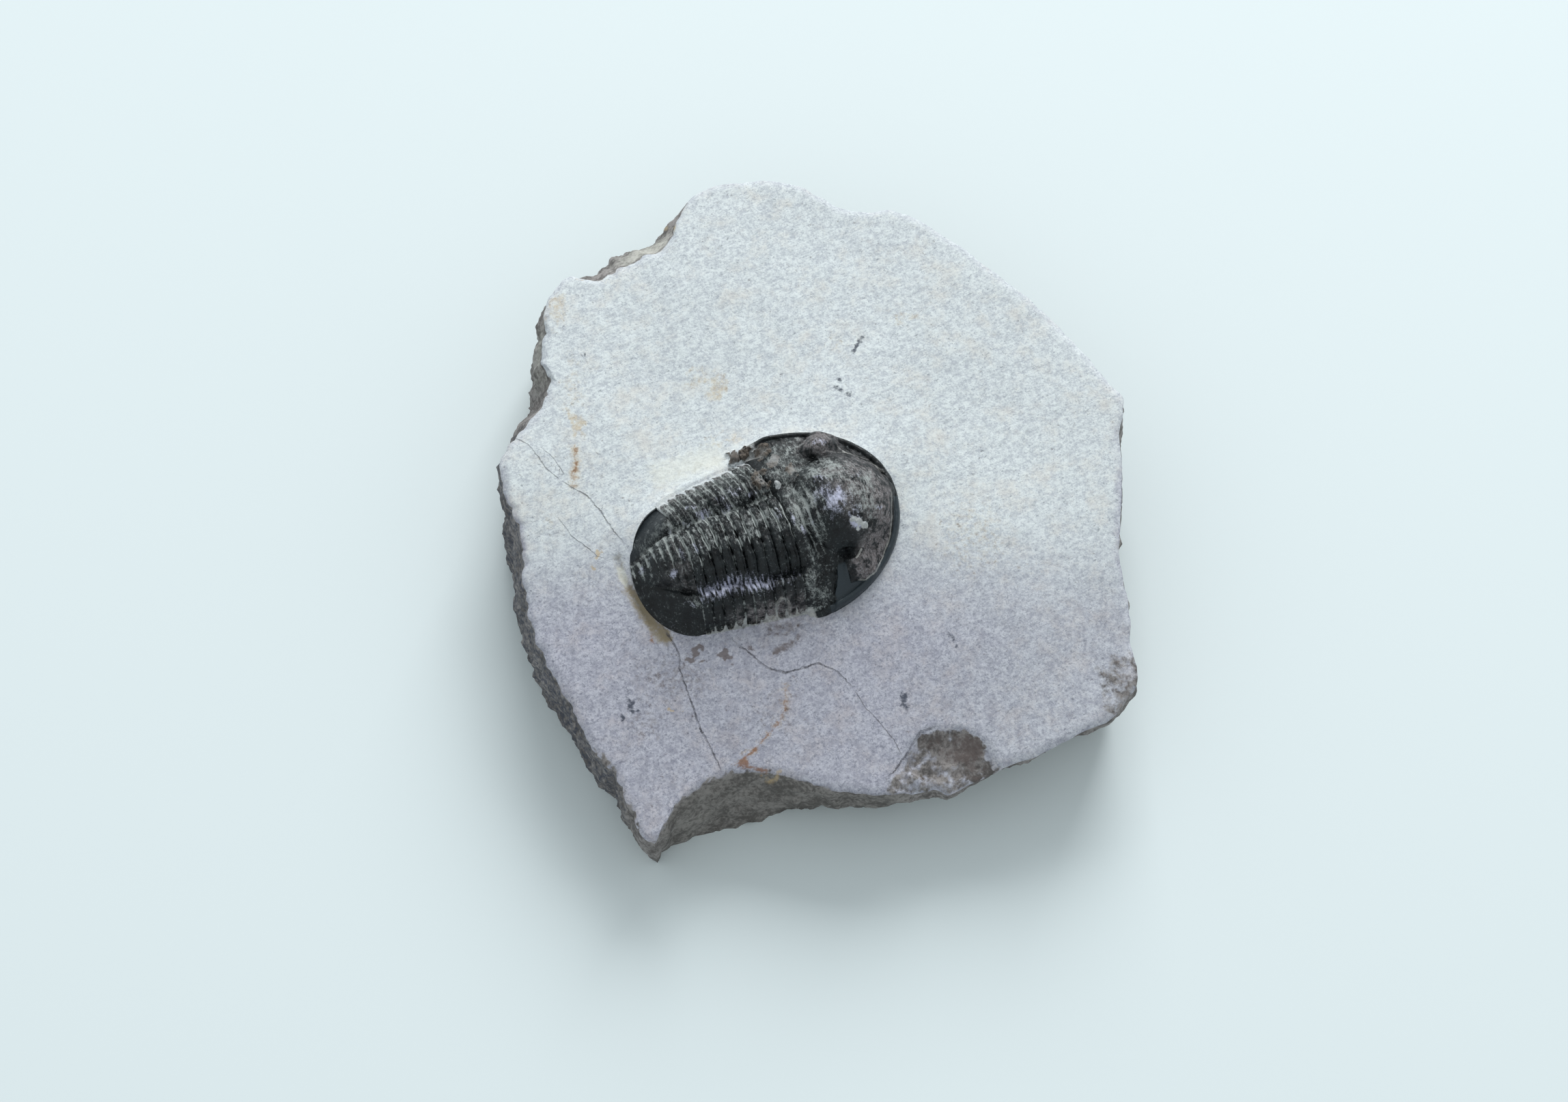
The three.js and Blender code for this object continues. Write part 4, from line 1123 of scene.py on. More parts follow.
def tail_shield(settings, material):
    """The tail shield: the body section let down to its margin, with rings on its axis and faint ribs."""
    v, s = plate_grid(PYGIDIUM_HALF_WIDTH, PYGIDIUM_HALF_WIDTH, PYGIDIUM_GRID)
    rear = tail_margin(v)
    u = rear + s * (joint_line(0, v) - SEGMENT_GAP / 2 - rear)
    flat = level(u, v)
    axial = from_axis(u, v)
    out = np.abs(axial) - axis_half_width(u)
    on_axis = 1 - smooth_step(out, -0.2, 0.2)
    rugged = np.maximum(on_axis, patches(u, v, TAIL_RUGGED))

    pitch = (THORAX_START - PYGIDIUM_TIP) / PYGIDIUM_RINGS
    wave = bump(((u - PYGIDIUM_TIP + 0.05 * noise(flat, 1.0, 85)) / pitch) % 1, 0.45, 0.45)
    rings = TAIL_RELIEF["ring"] * (wave - 0.4) * (1 - smooth_step(out, -0.35, 0.05))
    rings = rings * smooth_step(u, *TAIL_RINGS_START)
    bent = u + 0.28 * np.maximum(out, 0) - THORAX_START
    ribs = TAIL_RELIEF["rib"] * (bump((bent / PYGIDIUM_RIB) % 1, 0.5, 0.45) - 0.4)
    ribs = ribs * smooth_step(u, *TAIL_RIBS_START)
    ribs = ribs * smooth_step(out, 0, 0.4) * (1 - smooth_step(out, 1.2, 2.6))
    rim = smooth_step(u - rear, 0, PYGIDIUM_RIM)
    edge = along(SIDE_EDGE, u)
    sunk = TAIL_RELIEF["furrow"] * bell(out, 0.3) * smooth_step(u, *TAIL_FURROW_START)
    full = body_height(u, v, PYGIDIUM_HALF_WIDTH) - sunk
    w = edge + (full - edge) * np.sqrt(rim) + (rings + ribs) * rim
    w = w + (0.1 + rugged) * granules(flat, settings) + 0.02 * fractal(flat, 1.4, 2, 26)

    patchy = np.clip(0.75 + 0.7 * noise(flat, 1.4, 33) + 0.5 * noise(flat, 0.4, 36), 0, 1.3)
    # Painted light: haze laid heavier on the lit left half of the axis
    lines = on_axis * smooth_step(axial, -1.6, 0.6) * (1 - wave) ** 1.5
    lit = smooth_step(axial, -0.6, 0.8) * bell(out, 1.6)
    haze = (1.1 * lines + 0.4 * lit + 0.5 * rugged * (1 - on_axis) + 0.1) * patchy + 0.1
    rise, cover, tone = remnants(u, v)
    # The smooth shell of the tail gets a painted sheen, stronger on its left
    traits = shell_traits(
        u, bloom=patches(u, v, TAIL_BLOOM) * patchy, haze=haze, crust=cover, crust_tone=tone,
        brown=0.35 * on_axis * smooth_step(-axial, 0.0, 0.8) * smooth_step(u, *TAIL_BROWN_START),
        polish=(1 - rugged) * np.where(v > 0, 0.6, 0.4))
    piece = build_plate("tail_shield", place(u, v, w + rise), traits, material)
    finish_piece(piece, "pygidium")


def head_areas(u, v, crushed, inward):
    """Areas of the head, each 0 to 1, and distances to its fine lines."""
    area = SimpleNamespace()
    flat = level(u, v)
    cu, cv = crushed[..., 0], crushed[..., 1]
    area.left_eye, area.right_eye = mound(cu, cv, LEFT_EYE, 1.1), mound(cu, cv, RIGHT_EYE, 1.2)
    area.suture, area.shard = beside(u, v, SUTURE), beside(u, v, SHARD)
    area.outer = beside(cu, cv, PALE_LINE)

    # The cheek broken off behind the right eye, and the brown flank in front of it
    behind = 0.15 * noise(flat, 0.6, 57) - beside(u, v, CHEEK_STEP)
    area.step = smooth_step(behind, -0.12, 0.12) * smooth_step(-v, *CHEEK_STEP_SIDE) * (u < CHEEK_STEP_END)
    area.in_front = smooth_step(-v, *FLANK_SIDE) * smooth_step(u + 0.5 * noise(flat, 1.0, 55), *FLANK_START)
    area.flank = smooth_step(-area.outer, 0.0, 0.15) * (1 - smooth_step(-area.outer, *FLANK_WIDTH))
    area.flank = area.flank * area.in_front

    # Smooth glossy shell, lightened by a painted sheen, on the right cheek and the border; elsewhere the
    # shell is rough
    cheek = smooth_step(inward, 0.0, 0.3) * smooth_step(-v, *GLOSSY_CHEEK_SIDE) * (1 - area.step)
    cheek = cheek * np.where(u > CHEEK_STEP_END, smooth_step(area.outer, -0.1, 0.1), 1)
    on_border = (inward < GLOSSY_BORDER["width"]) * (u > GLOSSY_BORDER["u"])
    area.polish = np.maximum(cheek, np.where(v > 0, 0.4, 0.8) * on_border)
    area.hollow = spot(u, v, *HEAD_HOLLOW)
    area.dark = spot(u, v, *HEAD_DARK)
    area.rough = (1 - area.polish) * (1 - 0.7 * area.dark)

    # Stripes across the middle behind the glabella
    from_start = cu + STRIPES["slant"] * cv - STRIPES["start"]
    area.stripes = np.cos(from_start / STRIPES["pitch"] * 2 * math.pi)
    area.striped = bell(v - STRIPED["v"], STRIPED["width"]) * bell(u - STRIPED["u"], STRIPED["length"])
    return area


def head_relief(u, v, crushed, area, settings):
    """What stands on the head's base: oval mounds, then grains, stripes, lines and the broken step."""
    flat = level(u, v)
    cu, cv = crushed[..., 0], crushed[..., 1]
    glabella = mound(cu, cv, GLABELLA, 0.8)
    w = np.maximum(GLABELLA["rise"] * glabella, OCCIPITAL["rise"] * mound(cu, cv, OCCIPITAL))
    w = w + LEFT_EYE["rise"] * area.left_eye + RIGHT_EYE["rise"] * area.right_eye
    w = w + (0.05 + 0.1 * area.rough) * fractal(flat, 1.5, 4, 50)
    w = w + area.rough * (1 + 0.6 * glabella) * granules(flat, settings, 0.28)
    w = w + HEAD_FORMS["flank"] * area.flank * (1 - area.right_eye)
    w = w - HEAD_FORMS["stripes"] * area.stripes * area.striped - HEAD_FORMS["hollow"] * area.hollow
    w = w + HEAD_FORMS["suture"] * bell(area.suture, SUTURE_WIDTH)
    w = w + HEAD_FORMS["shard"] * bell(area.shard, SHARD_WIDTH)
    return w + area.step * (0.14 * fractal(flat, 0.7, 3, 56) - HEAD_FORMS["step"])


def head_colours(u, v, crushed, inward, area):
    """Dust, haze, brown shell and pale lines of the head."""
    streaks = noise(level(u, v) * (1.8, 0.7, 1), 0.5, 35)
    patchy = np.clip(0.75 + 1.1 * fractal(crushed, 1.8, 3, 34) + 0.6 * streaks, 0, 1.5)
    foot = bell(oval_reach(crushed[..., 0], crushed[..., 1], GLABELLA) - 1, 0.025)
    line = 0.8 * bell(area.outer, PALE_LINE_WIDTH) * area.in_front + 0.6 * bell(area.suture, SUTURE_WIDTH)
    line = line + 0.5 * foot * (v > 1.5) * (u > 19.5) + 2 * bell(area.shard, PALE_LINE_WIDTH)
    # Haze is kept out of the hollow beside the right eye, painted shade in that recess, and out of the dark
    # patch beside it
    inner = smooth_step(inward, 0.45, 0.7) * (1 - 0.85 * np.maximum(area.dark, area.hollow))
    haze = patches(u, v, HEAD_HAZE) * (0.3 + 0.9 * patchy) + 0.1
    haze = haze + 0.6 * smooth_step(area.stripes, 0.2, 0.9) * area.striped
    brown = patches(u, v, HEAD_BROWN) * np.maximum(inner, area.left_eye > 0.03)
    return {
        "bloom": patches(u, v, HEAD_BLOOM) * patchy,
        "haze": haze * inner * area.rough * (1 - 0.6 * area.flank),
        "brown": np.maximum(brown, 1.3 * area.flank),
        "pale_line": np.clip(line, 0, 1),
        "polish": area.polish,
    }


def head_shield(settings, material):
    """The head shield: base and what stands on it, let down to the trunk behind and the stone beside it."""
    v, s = plate_grid(HEAD_REACH["left"], HEAD_REACH["right"], HEAD_GRID)
    rear = head_rear(v) + SEGMENT_GAP / 2
    front = HEAD_CENTRE + HEAD_LENGTH * np.sqrt(1 - (HEAD_BLUNTNESS * head_side(v)) ** 2)
    u = rear + s * (front - rear)
    flat = level(u, v)
    shift = np.stack([noise(flat, CRUSH["size"], seed) for seed in CRUSH["seeds"]], axis=-1)
    crushed = flat + CRUSH["reach"] * shift
    base, inward = head_base(u, v)
    area = head_areas(u, v, crushed, inward)
    w = base + head_relief(u, v, crushed, area, settings)

    from_rear = u - head_rear(v)
    half_width = np.where(v > 0, THORAX_HALF_WIDTH["left"], THORAX_HALF_WIDTH["right"])
    trunk = body_height(u, v, half_width) + 0.1 * fractal(flat, 1.2, 3, 59)
    trunk = trunk - HEAD_JOINT["depth"] * np.exp(-from_rear / HEAD_JOINT["width"])
    trunk = trunk + HEAD_JOINT["ridge"] * bell(from_rear - HEAD_JOINT["at"], HEAD_JOINT["ridgeWidth"])
    w = trunk + smooth_step(from_rear, *HEAD_BLEND) * (w - trunk)
    beyond = np.abs(v) - half_width + 0.3 * noise(flat, 1.0, 58)
    corner = smooth_step(beyond, *CORNER_BAND) * (1 - smooth_step(u, *CORNER_END))
    rise, cover, tone = remnants(u, v)
    w = w + corner * (ground_level(u, v) - EDGE_SINK - w) + rise * (1 - corner)

    lap = smooth_step(corner, 0.3, 0.8)
    tone = np.where(lap > cover, np.where(v > 0, 0.55, 0.35), tone)
    colours = head_colours(u, v, crushed, inward, area)
    traits = shell_traits(u, crust=np.maximum(cover, lap), crust_tone=tone, **colours)
    piece = build_plate("head_shield", place(u, v, w), traits, material)
    finish_piece(piece, "cephalon")


# Stains of the stone: x, y, half length, half width, turn in radians and strength
RUST_SPOTS = [(-6.8, -23.5, 0.9, 0.6, 0.0, 1.1), (-14.8, -12.6, 1.0, 0.6, -0.5, 0.8)]
OCHRE_SPOTS = [
    (8.2, 19.9, 2.6, 1.8, 0.0, 0.5), (-21.2, 24.1, 1.0, 0.5, -0.4, 1.1), (-22.6, 23.7, 0.9, 0.5, 0.0, 0.7),
    (-14.2, 29.0, 0.35, 1.5, 0.0, 1.0), (-15.0, 30.6, 0.5, 0.8, 0.0, 0.8), (-9.5, 12.5, 1.8, 2.4, 0.0, 0.65),
    (-11.4, 13.2, 1.6, 1.4, 0.0, 0.55), (-24.7, 20.5, 1.6, 3.6, 0.0, 0.6), (-22.6, 8.5, 1.0, 3.0, 0.1, 0.75),
    (-24.8, -1.5, 1.0, 2.2, 0.0, 0.4), (-4.6, -24.6, 1.2, 0.5, -0.4, 0.8), (-6.4, -22.9, 0.9, 0.7, 0.0, 0.6),
    (-9.0, 6.8, 3.0, 1.2, 0.2, 0.45), (19.0, -6.0, 2.6, 1.8, 0.4, 0.35), (1.5, 17.0, 2.4, 1.2, 0.3, 0.35),
    (14.0, -3.0, 6.0, 7.0, 0.0, 0.4), (-23.0, 12.0, 1.5, 7.0, 0.0, 0.45),
    (-20.2, -5.2, 1.1, 0.5, 0.8, 1.4), (-12.9, -18.8, 0.7, 0.35, -0.2, 1.3),
]
DARK_SPOTS = [
    (-16.9, -18.6, 0.7, 0.5, 0.0, 1.1), (-17.5, -19.6, 0.4, 0.4, 0.0, 1.1), (7.6, -17.9, 1.2, 1.0, 0.3, 1.0),
    (2.0, 12.0, 1.0, 0.9, 0.0, 0.9), (-9.4, 24.2, 0.9, 0.5, 0.3, 0.6), (-22.0, 15.0, 0.5, 0.5, 0.0, 0.8),
    (11.8, -12.4, 0.7, 0.6, 0.0, 0.6), (15.6, 6.0, 0.8, 0.5, 0.5, 0.5),
]
BROWN_SPOTS = [
    (-11.2, -13.8, 1.1, 0.7, 0.3, 1.5), (-8.5, -13.8, 1.0, 0.7, -0.3, 1.5), (-6.3, -13.2, 0.8, 0.5, 0.0, 0.7),
    (-4.9, -12.9, 0.7, 0.4, 0.0, 0.5), (-13.2, -16.0, 6.0, 4.0, 0.0, 0.5), (-16.0, -20.0, 3.0, 2.2, 0.0, 0.5),
    (-4.0, -19.0, 4.0, 3.0, 0.0, 0.4), (-2.5, -15.8, 1.2, 0.9, 0.0, 0.5), (-7.0, -23.3, 0.6, 0.5, 0.0, 0.9),
]
PATCH_BROWN = [
    (9.9, -21.5, 1.8, 1.6, 0.0, 0.6), (13.4, -22.2, 3.2, 2.4, 0.0, 0.95), (14.6, -25.0, 2.4, 1.3, 0.0, 0.9),
]
PALE_WALLS = [
    (-15.0, 26.0, 8.0, 6.0, 0.0, 0.8), (-25.2, 16.5, 4.0, 7.0, 0.0, 0.6), (-11.0, -28.0, 4.0, 3.0, 0.6, 0.3),
]

# Bands beside the trilobite's left: white chalk, and a narrow one of brown
CHALK_BAND = {"v": 9.5, "width": 2.0, "side": (5, 8), "start": (3, 6), "end": (11, 13)}
BROWN_BAND = {"v": 9.0, "width": 0.7, "u": 8.5, "length": 4.5}

# Soft steps on the stone, as where each starts and ends along x, to the left, along y or to the near side
NEAR_WALL = (19, 23)
DARK_WALL = {"left": (15, 19), "y": (6, 12)}
FRAYED_RIM_END = (2, 6)
FACET_SHADE = {"near": (-1.0, 13.0), "x": (5, 22)}
RIM_SHADE_FADE = (0, 12)
OLIVE_WALL = {"start": (-15.5, -13), "end": (6, 9)}

# Relief of the broken patch, and half width of the groove
PATCH_RELIEF = {"rough": 0.4, "sunk": 0.15, "ridge": 0.6}
GROOVE_HALF_WIDTH = 0.4

# How deep the rim is chipped, and how much more beyond a soft step to the left
RIM_CHIPS = {"depth": 0.25, "more": 0.35, "left": (8, 20)}


def crack_traits(x, y):
    """The nearest crack: distance in its widths, signed by its side, and how strongly it shows there."""
    side = np.full(x.shape, CRACK_FAR)
    near = np.zeros(x.shape)
    distances = []
    for width, strength, path in CRACKS:
        distance, gone = path_distance(x, y, path)
        ends = np.clip(12 * gone + 0.4, 0, 1) * np.clip(12 * (1 - gone), 0, 1)
        here = strength * smooth_step(-np.abs(distance), -0.9, -0.4) * ends
        closer = np.abs(distance / width) < np.abs(side)
        side = np.where(closer, distance / width, side)
        near = np.where(closer, here, near)
        distances.append(np.abs(distance))
    first, second = np.sort(distances, axis=0)[:2]
    return side, near * smooth_step(second - first, 0.05, 0.35)


def rust_and_ochre(x, y, torn, ragged, jagged):
    """Rust along the vein, its branch and the streak and in spots, and the paler ochre round them."""
    vein, gone = path_distance(x, y, RUSTY_VEIN)
    streak = beside(x, y, ORANGE_STREAK)
    rust = np.max([
        (0.5 + 0.6 * gone) * bell(vein + 0.15 * ragged + 0.06 * jagged, 0.17),
        0.65 * bell(streak + 0.3 * jagged, 0.3),
        bell(beside(x, y, RUSTY_BRANCH) + 0.2 * jagged, 0.2),
        patches(*torn, RUST_SPOTS)], axis=0)
    ochre = np.max([
        0.5 * bell(vein + 0.2 * ragged, 0.6),
        0.7 * bell(streak, 0.7),
        patches(*torn, OCHRE_SPOTS)], axis=0)
    return rust, ochre


def brown_stains(x, y, torn, ragged, patch, corner):
    """Brown in spots, on the broken patch and corner, and along the spur, the lump, the groove and shell."""
    u, v = to_body(x, y)
    spur, spur_gone = path_distance(x, y, BROWN_SPUR)
    lump, lump_gone = path_distance(u, v, LUMP_FOOT)
    groove, groove_gone = path_distance(x, y, CALCITE_GROOVE)
    return np.max([
        patches(*torn, BROWN_SPOTS),
        patch * patches(*torn, PATCH_BROWN),
        0.3 * corner,
        1.1 * bell(spur + 0.2 * ragged, 0.4) * (1 - 0.5 * spur_gone),
        0.5 * bell(lump + 0.1 * ragged, 0.2) * (1 - lump_gone),
        1.1 * bell(groove + 0.15 * ragged - 0.2, 0.45) * smooth_step(groove_gone, 0.1, 0.4),
        0.5 * spot(u, v, *SIDE_BROWN),
        0.45 * bell(v - BROWN_BAND["v"] + 0.3 * ragged, BROWN_BAND["width"])
        * bell(u - BROWN_BAND["u"], BROWN_BAND["length"])], axis=0)


def pale_stains(x, y, wall, ragged):
    """White chalk beside the trilobite, on pale walls and at the tail, and the calcite of the groove."""
    u, v = to_body(x, y)
    beside_shell = smooth_step(v, *CHALK_BAND["side"]) * bell(v - CHALK_BAND["v"], CHALK_BAND["width"])
    beside_shell = beside_shell * smooth_step(u, *CHALK_BAND["start"])
    chalk = np.max([
        beside_shell * (1 - smooth_step(u, *CHALK_BAND["end"])),
        wall * patches(x, y, PALE_WALLS),
        1.3 * spot(x, y, *TAIL_CHALK)], axis=0)
    groove, gone = path_distance(x, y, CALCITE_GROOVE)
    return chalk, bell(groove + 0.2 * ragged, 0.85) * (0.6 + 0.4 * smooth_step(gone, 0.2, 0.5))


def stone_traits(x, y, wall, rim):
    """Traits of the stone at x and y; wall is 1 on its broken sides and rim is 1 on its rounded rim."""
    flat = level(x, y)
    ragged = fractal(flat, 1.5, 4, 80)
    jagged = fractal(flat, 0.7, 3, 88)
    torn = (x + 0.9 * ragged + 0.5 * jagged, y + 0.9 * fractal(flat, 1.5, 4, 87) - 0.5 * jagged)
    patch = inside_share(x + 0.5 * ragged, y + 0.5 * ragged, ROUGH_PATCH, 0.45) * (1 - wall)
    corner = np.clip(spot(x, y, *WORN_CORNER) + 0.35 * ragged, 0, 1)
    crack_side, crack_near = crack_traits(x, y)
    rust, ochre = rust_and_ochre(x, y, torn, ragged, jagged)
    chalk, calcite = pale_stains(x, y, wall, ragged)
    near_wall = smooth_step(-y, *NEAR_WALL)
    # Painted shade: the left walls, which face away from the lamp, darkened with the blue-black of the spots
    dark_wall = 0.6 * wall * smooth_step(-x, *DARK_WALL["left"]) * (1 - smooth_step(y, *DARK_WALL["y"]))
    dark = np.max([bell(beside(x, y, DARK_STREAK), 0.2), patches(*torn, DARK_SPOTS), dark_wall], axis=0)

    fray = rim * (0.5 + 1.1 * jagged + 0.5 * ragged) * near_wall
    fray = fray * (1 - smooth_step(x, *FRAYED_RIM_END))
    dull = 0.52 + 0.4 * patches(*torn, PATCH_BROWN) + 0.25 * jagged
    weathered = np.max([wall, patch * dull, 0.54 * corner, 0.8 * fray], axis=0)
    # Painted shade: darker towards the near side, where the face turns away from the lamp
    facet = smooth_step(-y + 2.5 * noise(flat, 9.0, 86), *FACET_SHADE["near"])
    facet = facet * (1 - 0.3 * smooth_step(x, *FACET_SHADE["x"]))
    # Painted shade on the rounded rim, fading towards the far side
    rim_shade = rim * (0.7 + 0.6 * ragged) * (1 - 0.6 * smooth_step(y, *RIM_SHADE_FADE))
    olive = wall * near_wall * smooth_step(x, *OLIVE_WALL["start"]) * (1 - smooth_step(x, *OLIVE_WALL["end"]))
    cover, tone = remnants(*to_body(x, y))[1:]
    # The soil trait also carries a painted shadow line under the shard
    soil = np.maximum(cover * smooth_step(tone, 0.3, 0.7), bell(beside(x, y, SHARD_SHADOW), 0.14))
    return {
        "near_facet_shade": np.maximum(facet, rim_shade), "weathered": weathered, "olive": olive,
        "ochre": ochre, "rust": rust, "soil": soil, "dark": dark, "calcite": calcite, "chalk": chalk,
        "brown": brown_stains(x, y, torn, ragged, patch, corner),
        "crack_side": crack_side, "crack_near": crack_near * (wall < 0.5),
    }


def stone_face(x, y, settings):
    """The face with its relief: noise of three sizes, less the groove at the tail, plus the broken patch."""
    flat = level(x, y)
    relief = settings.relief / MM
    uneven = relief * (noise(flat, 9.0, 1) + 0.4 * noise(flat, 3.0, 2) + 0.16 * fractal(flat, 0.8, 2, 3))
    shard = spot(x, y, *SHARD_RIDGE) * smooth_step(SHARD_EDGE - x, -0.1, 0.15)
    patch = inside_share(x, y, ROUGH_PATCH, 0.3)
    rough = PATCH_RELIEF["rough"] * fractal(flat, 1.3, 4, 5) - PATCH_RELIEF["sunk"]
    rough = patch * (rough + PATCH_RELIEF["ridge"] * shard)
    sunk = settings.groove_depth / MM * bell(beside(x, y, CALCITE_GROOVE), GROOVE_HALF_WIDTH)
    u, v = to_body(x, y)
    return face_height(x, y) + uneven - sunk + rough + apron_height(u, v) + remnants(u, v)[0]


def on_face(places, settings):
    """Points on the stone's face over places in x and y."""
    return np.dstack([places, stone_face(places[..., 0], places[..., 1], settings)])


def stone_rim():
    """The rim, set inward by sharp-crested noise, and the way outward, averaged over its neighbours."""
    rim = closed_curve(RIM, DIRECTIONS)
    ahead = np.roll(rim[:, :2], -1, axis=0) - np.roll(rim[:, :2], 1, axis=0)
    outward = np.stack([-ahead[:, 1], ahead[:, 0]], axis=-1) / np.hypot(*ahead.T)[:, None]
    points = level(rim[:, 0], rim[:, 1])
    scallop = np.maximum(0.5 * ridged(points, 2.6, 3, 90) - 0.2, 0) + 0.08 * noise(points, 0.8, 94)
    depth = RIM_CHIPS["depth"] + RIM_CHIPS["more"] * smooth_step(-rim[:, 0], *RIM_CHIPS["left"])
    rim[:, :2] -= outward * (scallop * depth)[:, None]
    turns = range(-CORNER_SPREAD, CORNER_SPREAD + 1)
    return rim, np.mean([np.roll(outward, turn, axis=0) for turn in turns], axis=0)


def seat_edge(rim):
    """Edge of the seat: the trilobite's outline less its lap, in the direction of each point of the rim."""
    middle = BODY_LENGTH / 2
    u, v = to_body(rim[:, 0], rim[:, 1])
    angle = np.arctan2(v, u - middle)
    reach = outline_reach(angle) - STONE_LAP
    return np.stack(to_stone(middle + reach * np.cos(angle), reach * np.sin(angle)), axis=-1)


def stone_rings(settings):
    """Rings of points from the seat's floor over the face, the rounded rim and the walls to the foot.

    The face's rings crowd towards the seat by an exponential. The rim drops by a square. A wall bows
    out by a parabola on a straight line to its foot, and sharp-crested noise moves it outward.
    """
    rim, outward = stone_rim()
    seat = seat_edge(rim)
    inner = rim[:, :2] - (rim[:, :2] - seat) * (RIM_INSET / np.hypot(*(rim[:, :2] - seat).T))[:, None]
    share = np.expm1(FACE_CROWDING * np.linspace(0, 1, FACE_RINGS)) / math.expm1(FACE_CROWDING)
    face = on_face(seat + share[:, None, None] * (inner - seat), settings)
    turn = np.linspace(0, 1, RIM_RINGS + 1)[1:, None, None]
    rounded = on_face(inner + turn * (rim[:, :2] - inner), settings)
    rounded[..., 2] -= RIM_ROUNDING * turn[..., 0] ** 2

    s = np.linspace(0, 1, WALL_RINGS + 1)[1:, None]
    middle, foot = rim[:, 2], rim[:, 3]
    out = 4 * s * (1 - s) * (middle - foot / 2) + s * foot
    wall = np.dstack([rim[:, :2] + out[..., None] * outward, (1 - s) * rounded[-1, :, 2]])
    broken = settings.wall_relief / MM * (0.5 * ridged(wall, 5.0, 4, 11) - 0.2)
    broken = broken + 0.2 * fractal(wall, 1.2, 3, 15)
    wall[..., :2] += (broken * smooth_step(s, 0.0, 0.2))[..., None] * outward
    floor = np.dstack([face[:1, :, :2], np.full((1, DIRECTIONS), DATUM - SEAT_DEPTH)])
    return np.concatenate([floor, face, rounded, wall])


def build_stone(settings, material):
    """The limestone: its rings, closed by a fan of triangles in the seat and one under the foot."""
    rings = stone_rings(settings)
    count = len(rings)
    wall = np.zeros((count, DIRECTIONS))
    wall[-WALL_RINGS:] = 1
    wall[-WALL_RINGS - 1] = 0.3
    rim = np.zeros((count, DIRECTIONS))
    rim[-WALL_RINGS - RIM_RINGS:-WALL_RINGS] = np.linspace(0.2, 1, RIM_RINGS)[:, None]
    traits = stone_traits(rings[..., 0], rings[..., 1], wall, rim)
    traits = {key: np.concatenate([[0], value.ravel(), [0]]) for key, value in traits.items()}

    cx, cy = to_stone(BODY_LENGTH / 2, 0.0)
    points = np.concatenate([[[cx, cy, DATUM - SEAT_DEPTH]], rings.reshape(-1, 3), [[cx, cy, 0]]])
    index = 1 + np.arange(count * DIRECTIONS).reshape(count, DIRECTIONS)
    ahead = np.roll(index, -1, axis=1)
    quads = np.stack([index[:-1], ahead[:-1], ahead[1:], index[1:]], axis=-1).reshape(-1, 4)
    first = np.stack([np.zeros(DIRECTIONS, int), ahead[0], index[0]], axis=-1)
    last = np.stack([index[-1], ahead[-1], np.full(DIRECTIONS, len(points) - 1)], axis=-1)
    piece = build_mesh("stone_slab", points, [quads, first, last], traits, material)
    finish_piece(piece, "limestone_matrix")


class BuildStone(bpy.types.Operator):
    """Builds the piece of limestone with its seat, cracks, stains and broken walls."""
    bl_idname = "trilobite.stone"
    bl_label = "Limestone"

    def execute(self, context):
        settings = context.scene.trilobite_stone
        build_stone(settings, shared_material("pale_limestone", limestone_material, settings))
        return {"FINISHED"}


class BuildTailShield(bpy.types.Operator):
    """Builds the trilobite's tail shield."""
    bl_idname = "trilobite.tail_shield"
    bl_label = "Tail shield"

    def execute(self, context):
        settings = context.scene.trilobite_shell
        tail_shield(settings, shared_material("dark_shell", shell_material, settings))
        return {"FINISHED"}


class BuildThoraxRings(bpy.types.Operator):
    """Builds the ten rings of the trilobite's trunk, head end first."""
    bl_idname = "trilobite.thorax_rings"
    bl_label = "Thorax rings"

    def execute(self, context):
        settings = context.scene.trilobite_shell
        for index in range(SEGMENT_COUNT):
            thorax_ring(index, settings, shared_material("dark_shell", shell_material, settings))
        return {"FINISHED"}


class BuildHeadShield(bpy.types.Operator):
    """Builds the trilobite's head shield with its glabella and eyes."""
    bl_idname = "trilobite.head_shield"
    bl_label = "Head shield"

    def execute(self, context):
        settings = context.scene.trilobite_shell
        head_shield(settings, shared_material("dark_shell", shell_material, settings))
        return {"FINISHED"}


# Camera: the point it looks at, its distance and its elevation, and its lens
AIM = (-2.81, -5.90, 11.0)
CAMERA_DISTANCE = 279.0
CAMERA_ELEVATION = math.radians(68)
LENS = 70.0
SENSOR = 36.0

# Floor, lamp and sky: sizes in millimetres, and colours as shares of light
FLOOR_REACH = 2000.0
LAMP_PLACE = (150, 830, 560)
LAMP_SIZE = 600
LAMP_TONE = (0.97, 0.99, 1.0)
SKY_TONE = (0.9, 0.97, 1.0, 1)


def add_floor(colour):
    """A plain pale floor under the stone."""
    reach = FLOOR_REACH * MM
    mesh = bpy.data.meshes.new("studio_floor")
    corners = [(-reach, -reach, 0), (reach, -reach, 0), (reach, reach, 0), (-reach, reach, 0)]
    mesh.from_pydata(corners, [], [(0, 1, 2, 3)])
    look = Look("studio_floor")
    mesh.materials.append(look.join(Base_Color=(*colour, 1), Roughness=0.6, Specular_IOR_Level=0.2))
    floor = bpy.data.objects.new("studio_floor", mesh)
    bpy.context.scene.collection.objects.link(floor)


def add_lamp(power):
    """A large square lamp that faces the middle of the object."""
    light = bpy.data.lights.new("key_light", "AREA")
    light.size = LAMP_SIZE * MM
    light.energy = power
    light.color = LAMP_TONE
    lamp = bpy.data.objects.new("key_light", light)
    lamp.location = [c * MM for c in LAMP_PLACE]
    lamp.rotation_euler = (-lamp.location).to_track_quat("-Z", "Y").to_euler()
    bpy.context.scene.collection.objects.link(lamp)


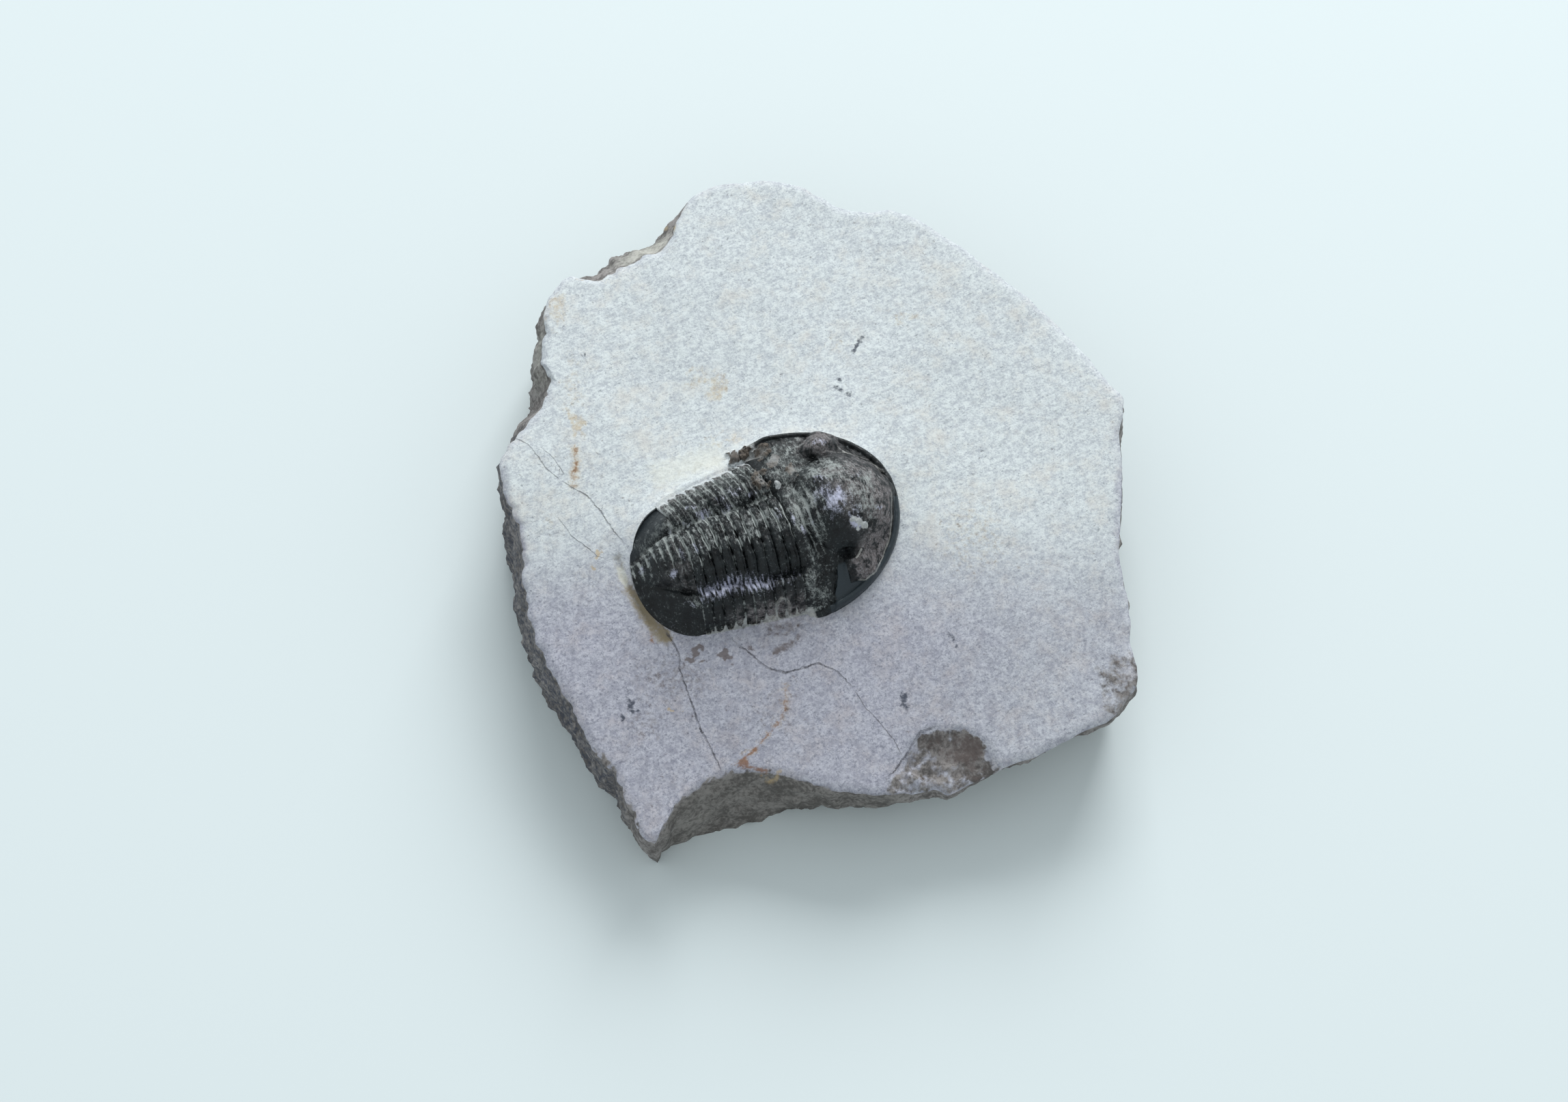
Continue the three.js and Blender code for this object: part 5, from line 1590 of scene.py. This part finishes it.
def add_camera():
    """The camera at the viewing angle, looking at AIM from its distance and elevation."""
    camera = bpy.data.objects.new("camera", bpy.data.cameras.new("camera"))
    camera.data.lens = LENS
    camera.data.sensor_width = SENSOR
    camera.data.clip_start = MM
    back = (0.0, -math.cos(CAMERA_ELEVATION), math.sin(CAMERA_ELEVATION))
    camera.location = [(a + CAMERA_DISTANCE * b) * MM for a, b in zip(AIM, back)]
    camera.rotation_euler = (math.pi / 2 - CAMERA_ELEVATION, 0, 0)
    bpy.context.scene.collection.objects.link(camera)
    bpy.context.scene.camera = camera


class BuildStage(bpy.types.Operator):
    """Adds the floor, the soft light and the camera."""
    bl_idname = "trilobite.stage"
    bl_label = "Stage"

    def execute(self, context):
        settings = context.scene.trilobite_stage
        add_camera()
        add_floor(settings.floor)
        add_lamp(settings.key_power)
        world = bpy.data.worlds.new("studio")
        world.use_nodes = True
        background = world.node_tree.nodes["Background"]
        background.inputs["Color"].default_value = SKY_TONE
        background.inputs["Strength"].default_value = settings.sky
        context.scene.world = world
        context.scene.view_settings.view_transform = "Standard"
        return {"FINISHED"}


class TrilobitePanel(bpy.types.Panel):
    """Lists the pieces and their settings in the sidebar."""
    bl_idname = "VIEW3D_PT_trilobite"
    bl_label = "Trilobite"
    bl_space_type = "VIEW_3D"
    bl_region_type = "UI"
    bl_category = "Trilobite"

    def draw(self, context):
        for group, operators in PARTS.items():
            box = self.layout.box()
            settings = getattr(context.scene, group)
            for key in settings.__annotations__:
                box.prop(settings, key)
            for operator in operators:
                box.operator(operator.bl_idname)


PARTS = {
    "trilobite_stage": (BuildStage,),
    "trilobite_stone": (BuildStone,),
    "trilobite_shell": (BuildTailShield, BuildThoraxRings, BuildHeadShield),
}
GROUPS = {
    "trilobite_stage": StageSettings,
    "trilobite_stone": StoneSettings,
    "trilobite_shell": ShellSettings,
}
OPERATORS = [operator for group in PARTS.values() for operator in group]
CLASSES = (*GROUPS.values(), *OPERATORS, TrilobitePanel)


def register():
    """Makes the classes and the settings known."""
    for each in CLASSES:
        bpy.utils.register_class(each)
    for name, group in GROUPS.items():
        setattr(bpy.types.Scene, name, bpy.props.PointerProperty(type=group))


def unregister():
    """Takes the settings and the classes away again."""
    for name in GROUPS:
        delattr(bpy.types.Scene, name)
    for each in reversed(CLASSES):
        bpy.utils.unregister_class(each)


def main():
    register()
    bpy.ops.trilobite.stage()
    bpy.ops.trilobite.stone()
    bpy.ops.trilobite.tail_shield()
    bpy.ops.trilobite.thorax_rings()
    bpy.ops.trilobite.head_shield()
    bpy.context.view_layer.update()


if __name__ == "__main__":
    main()
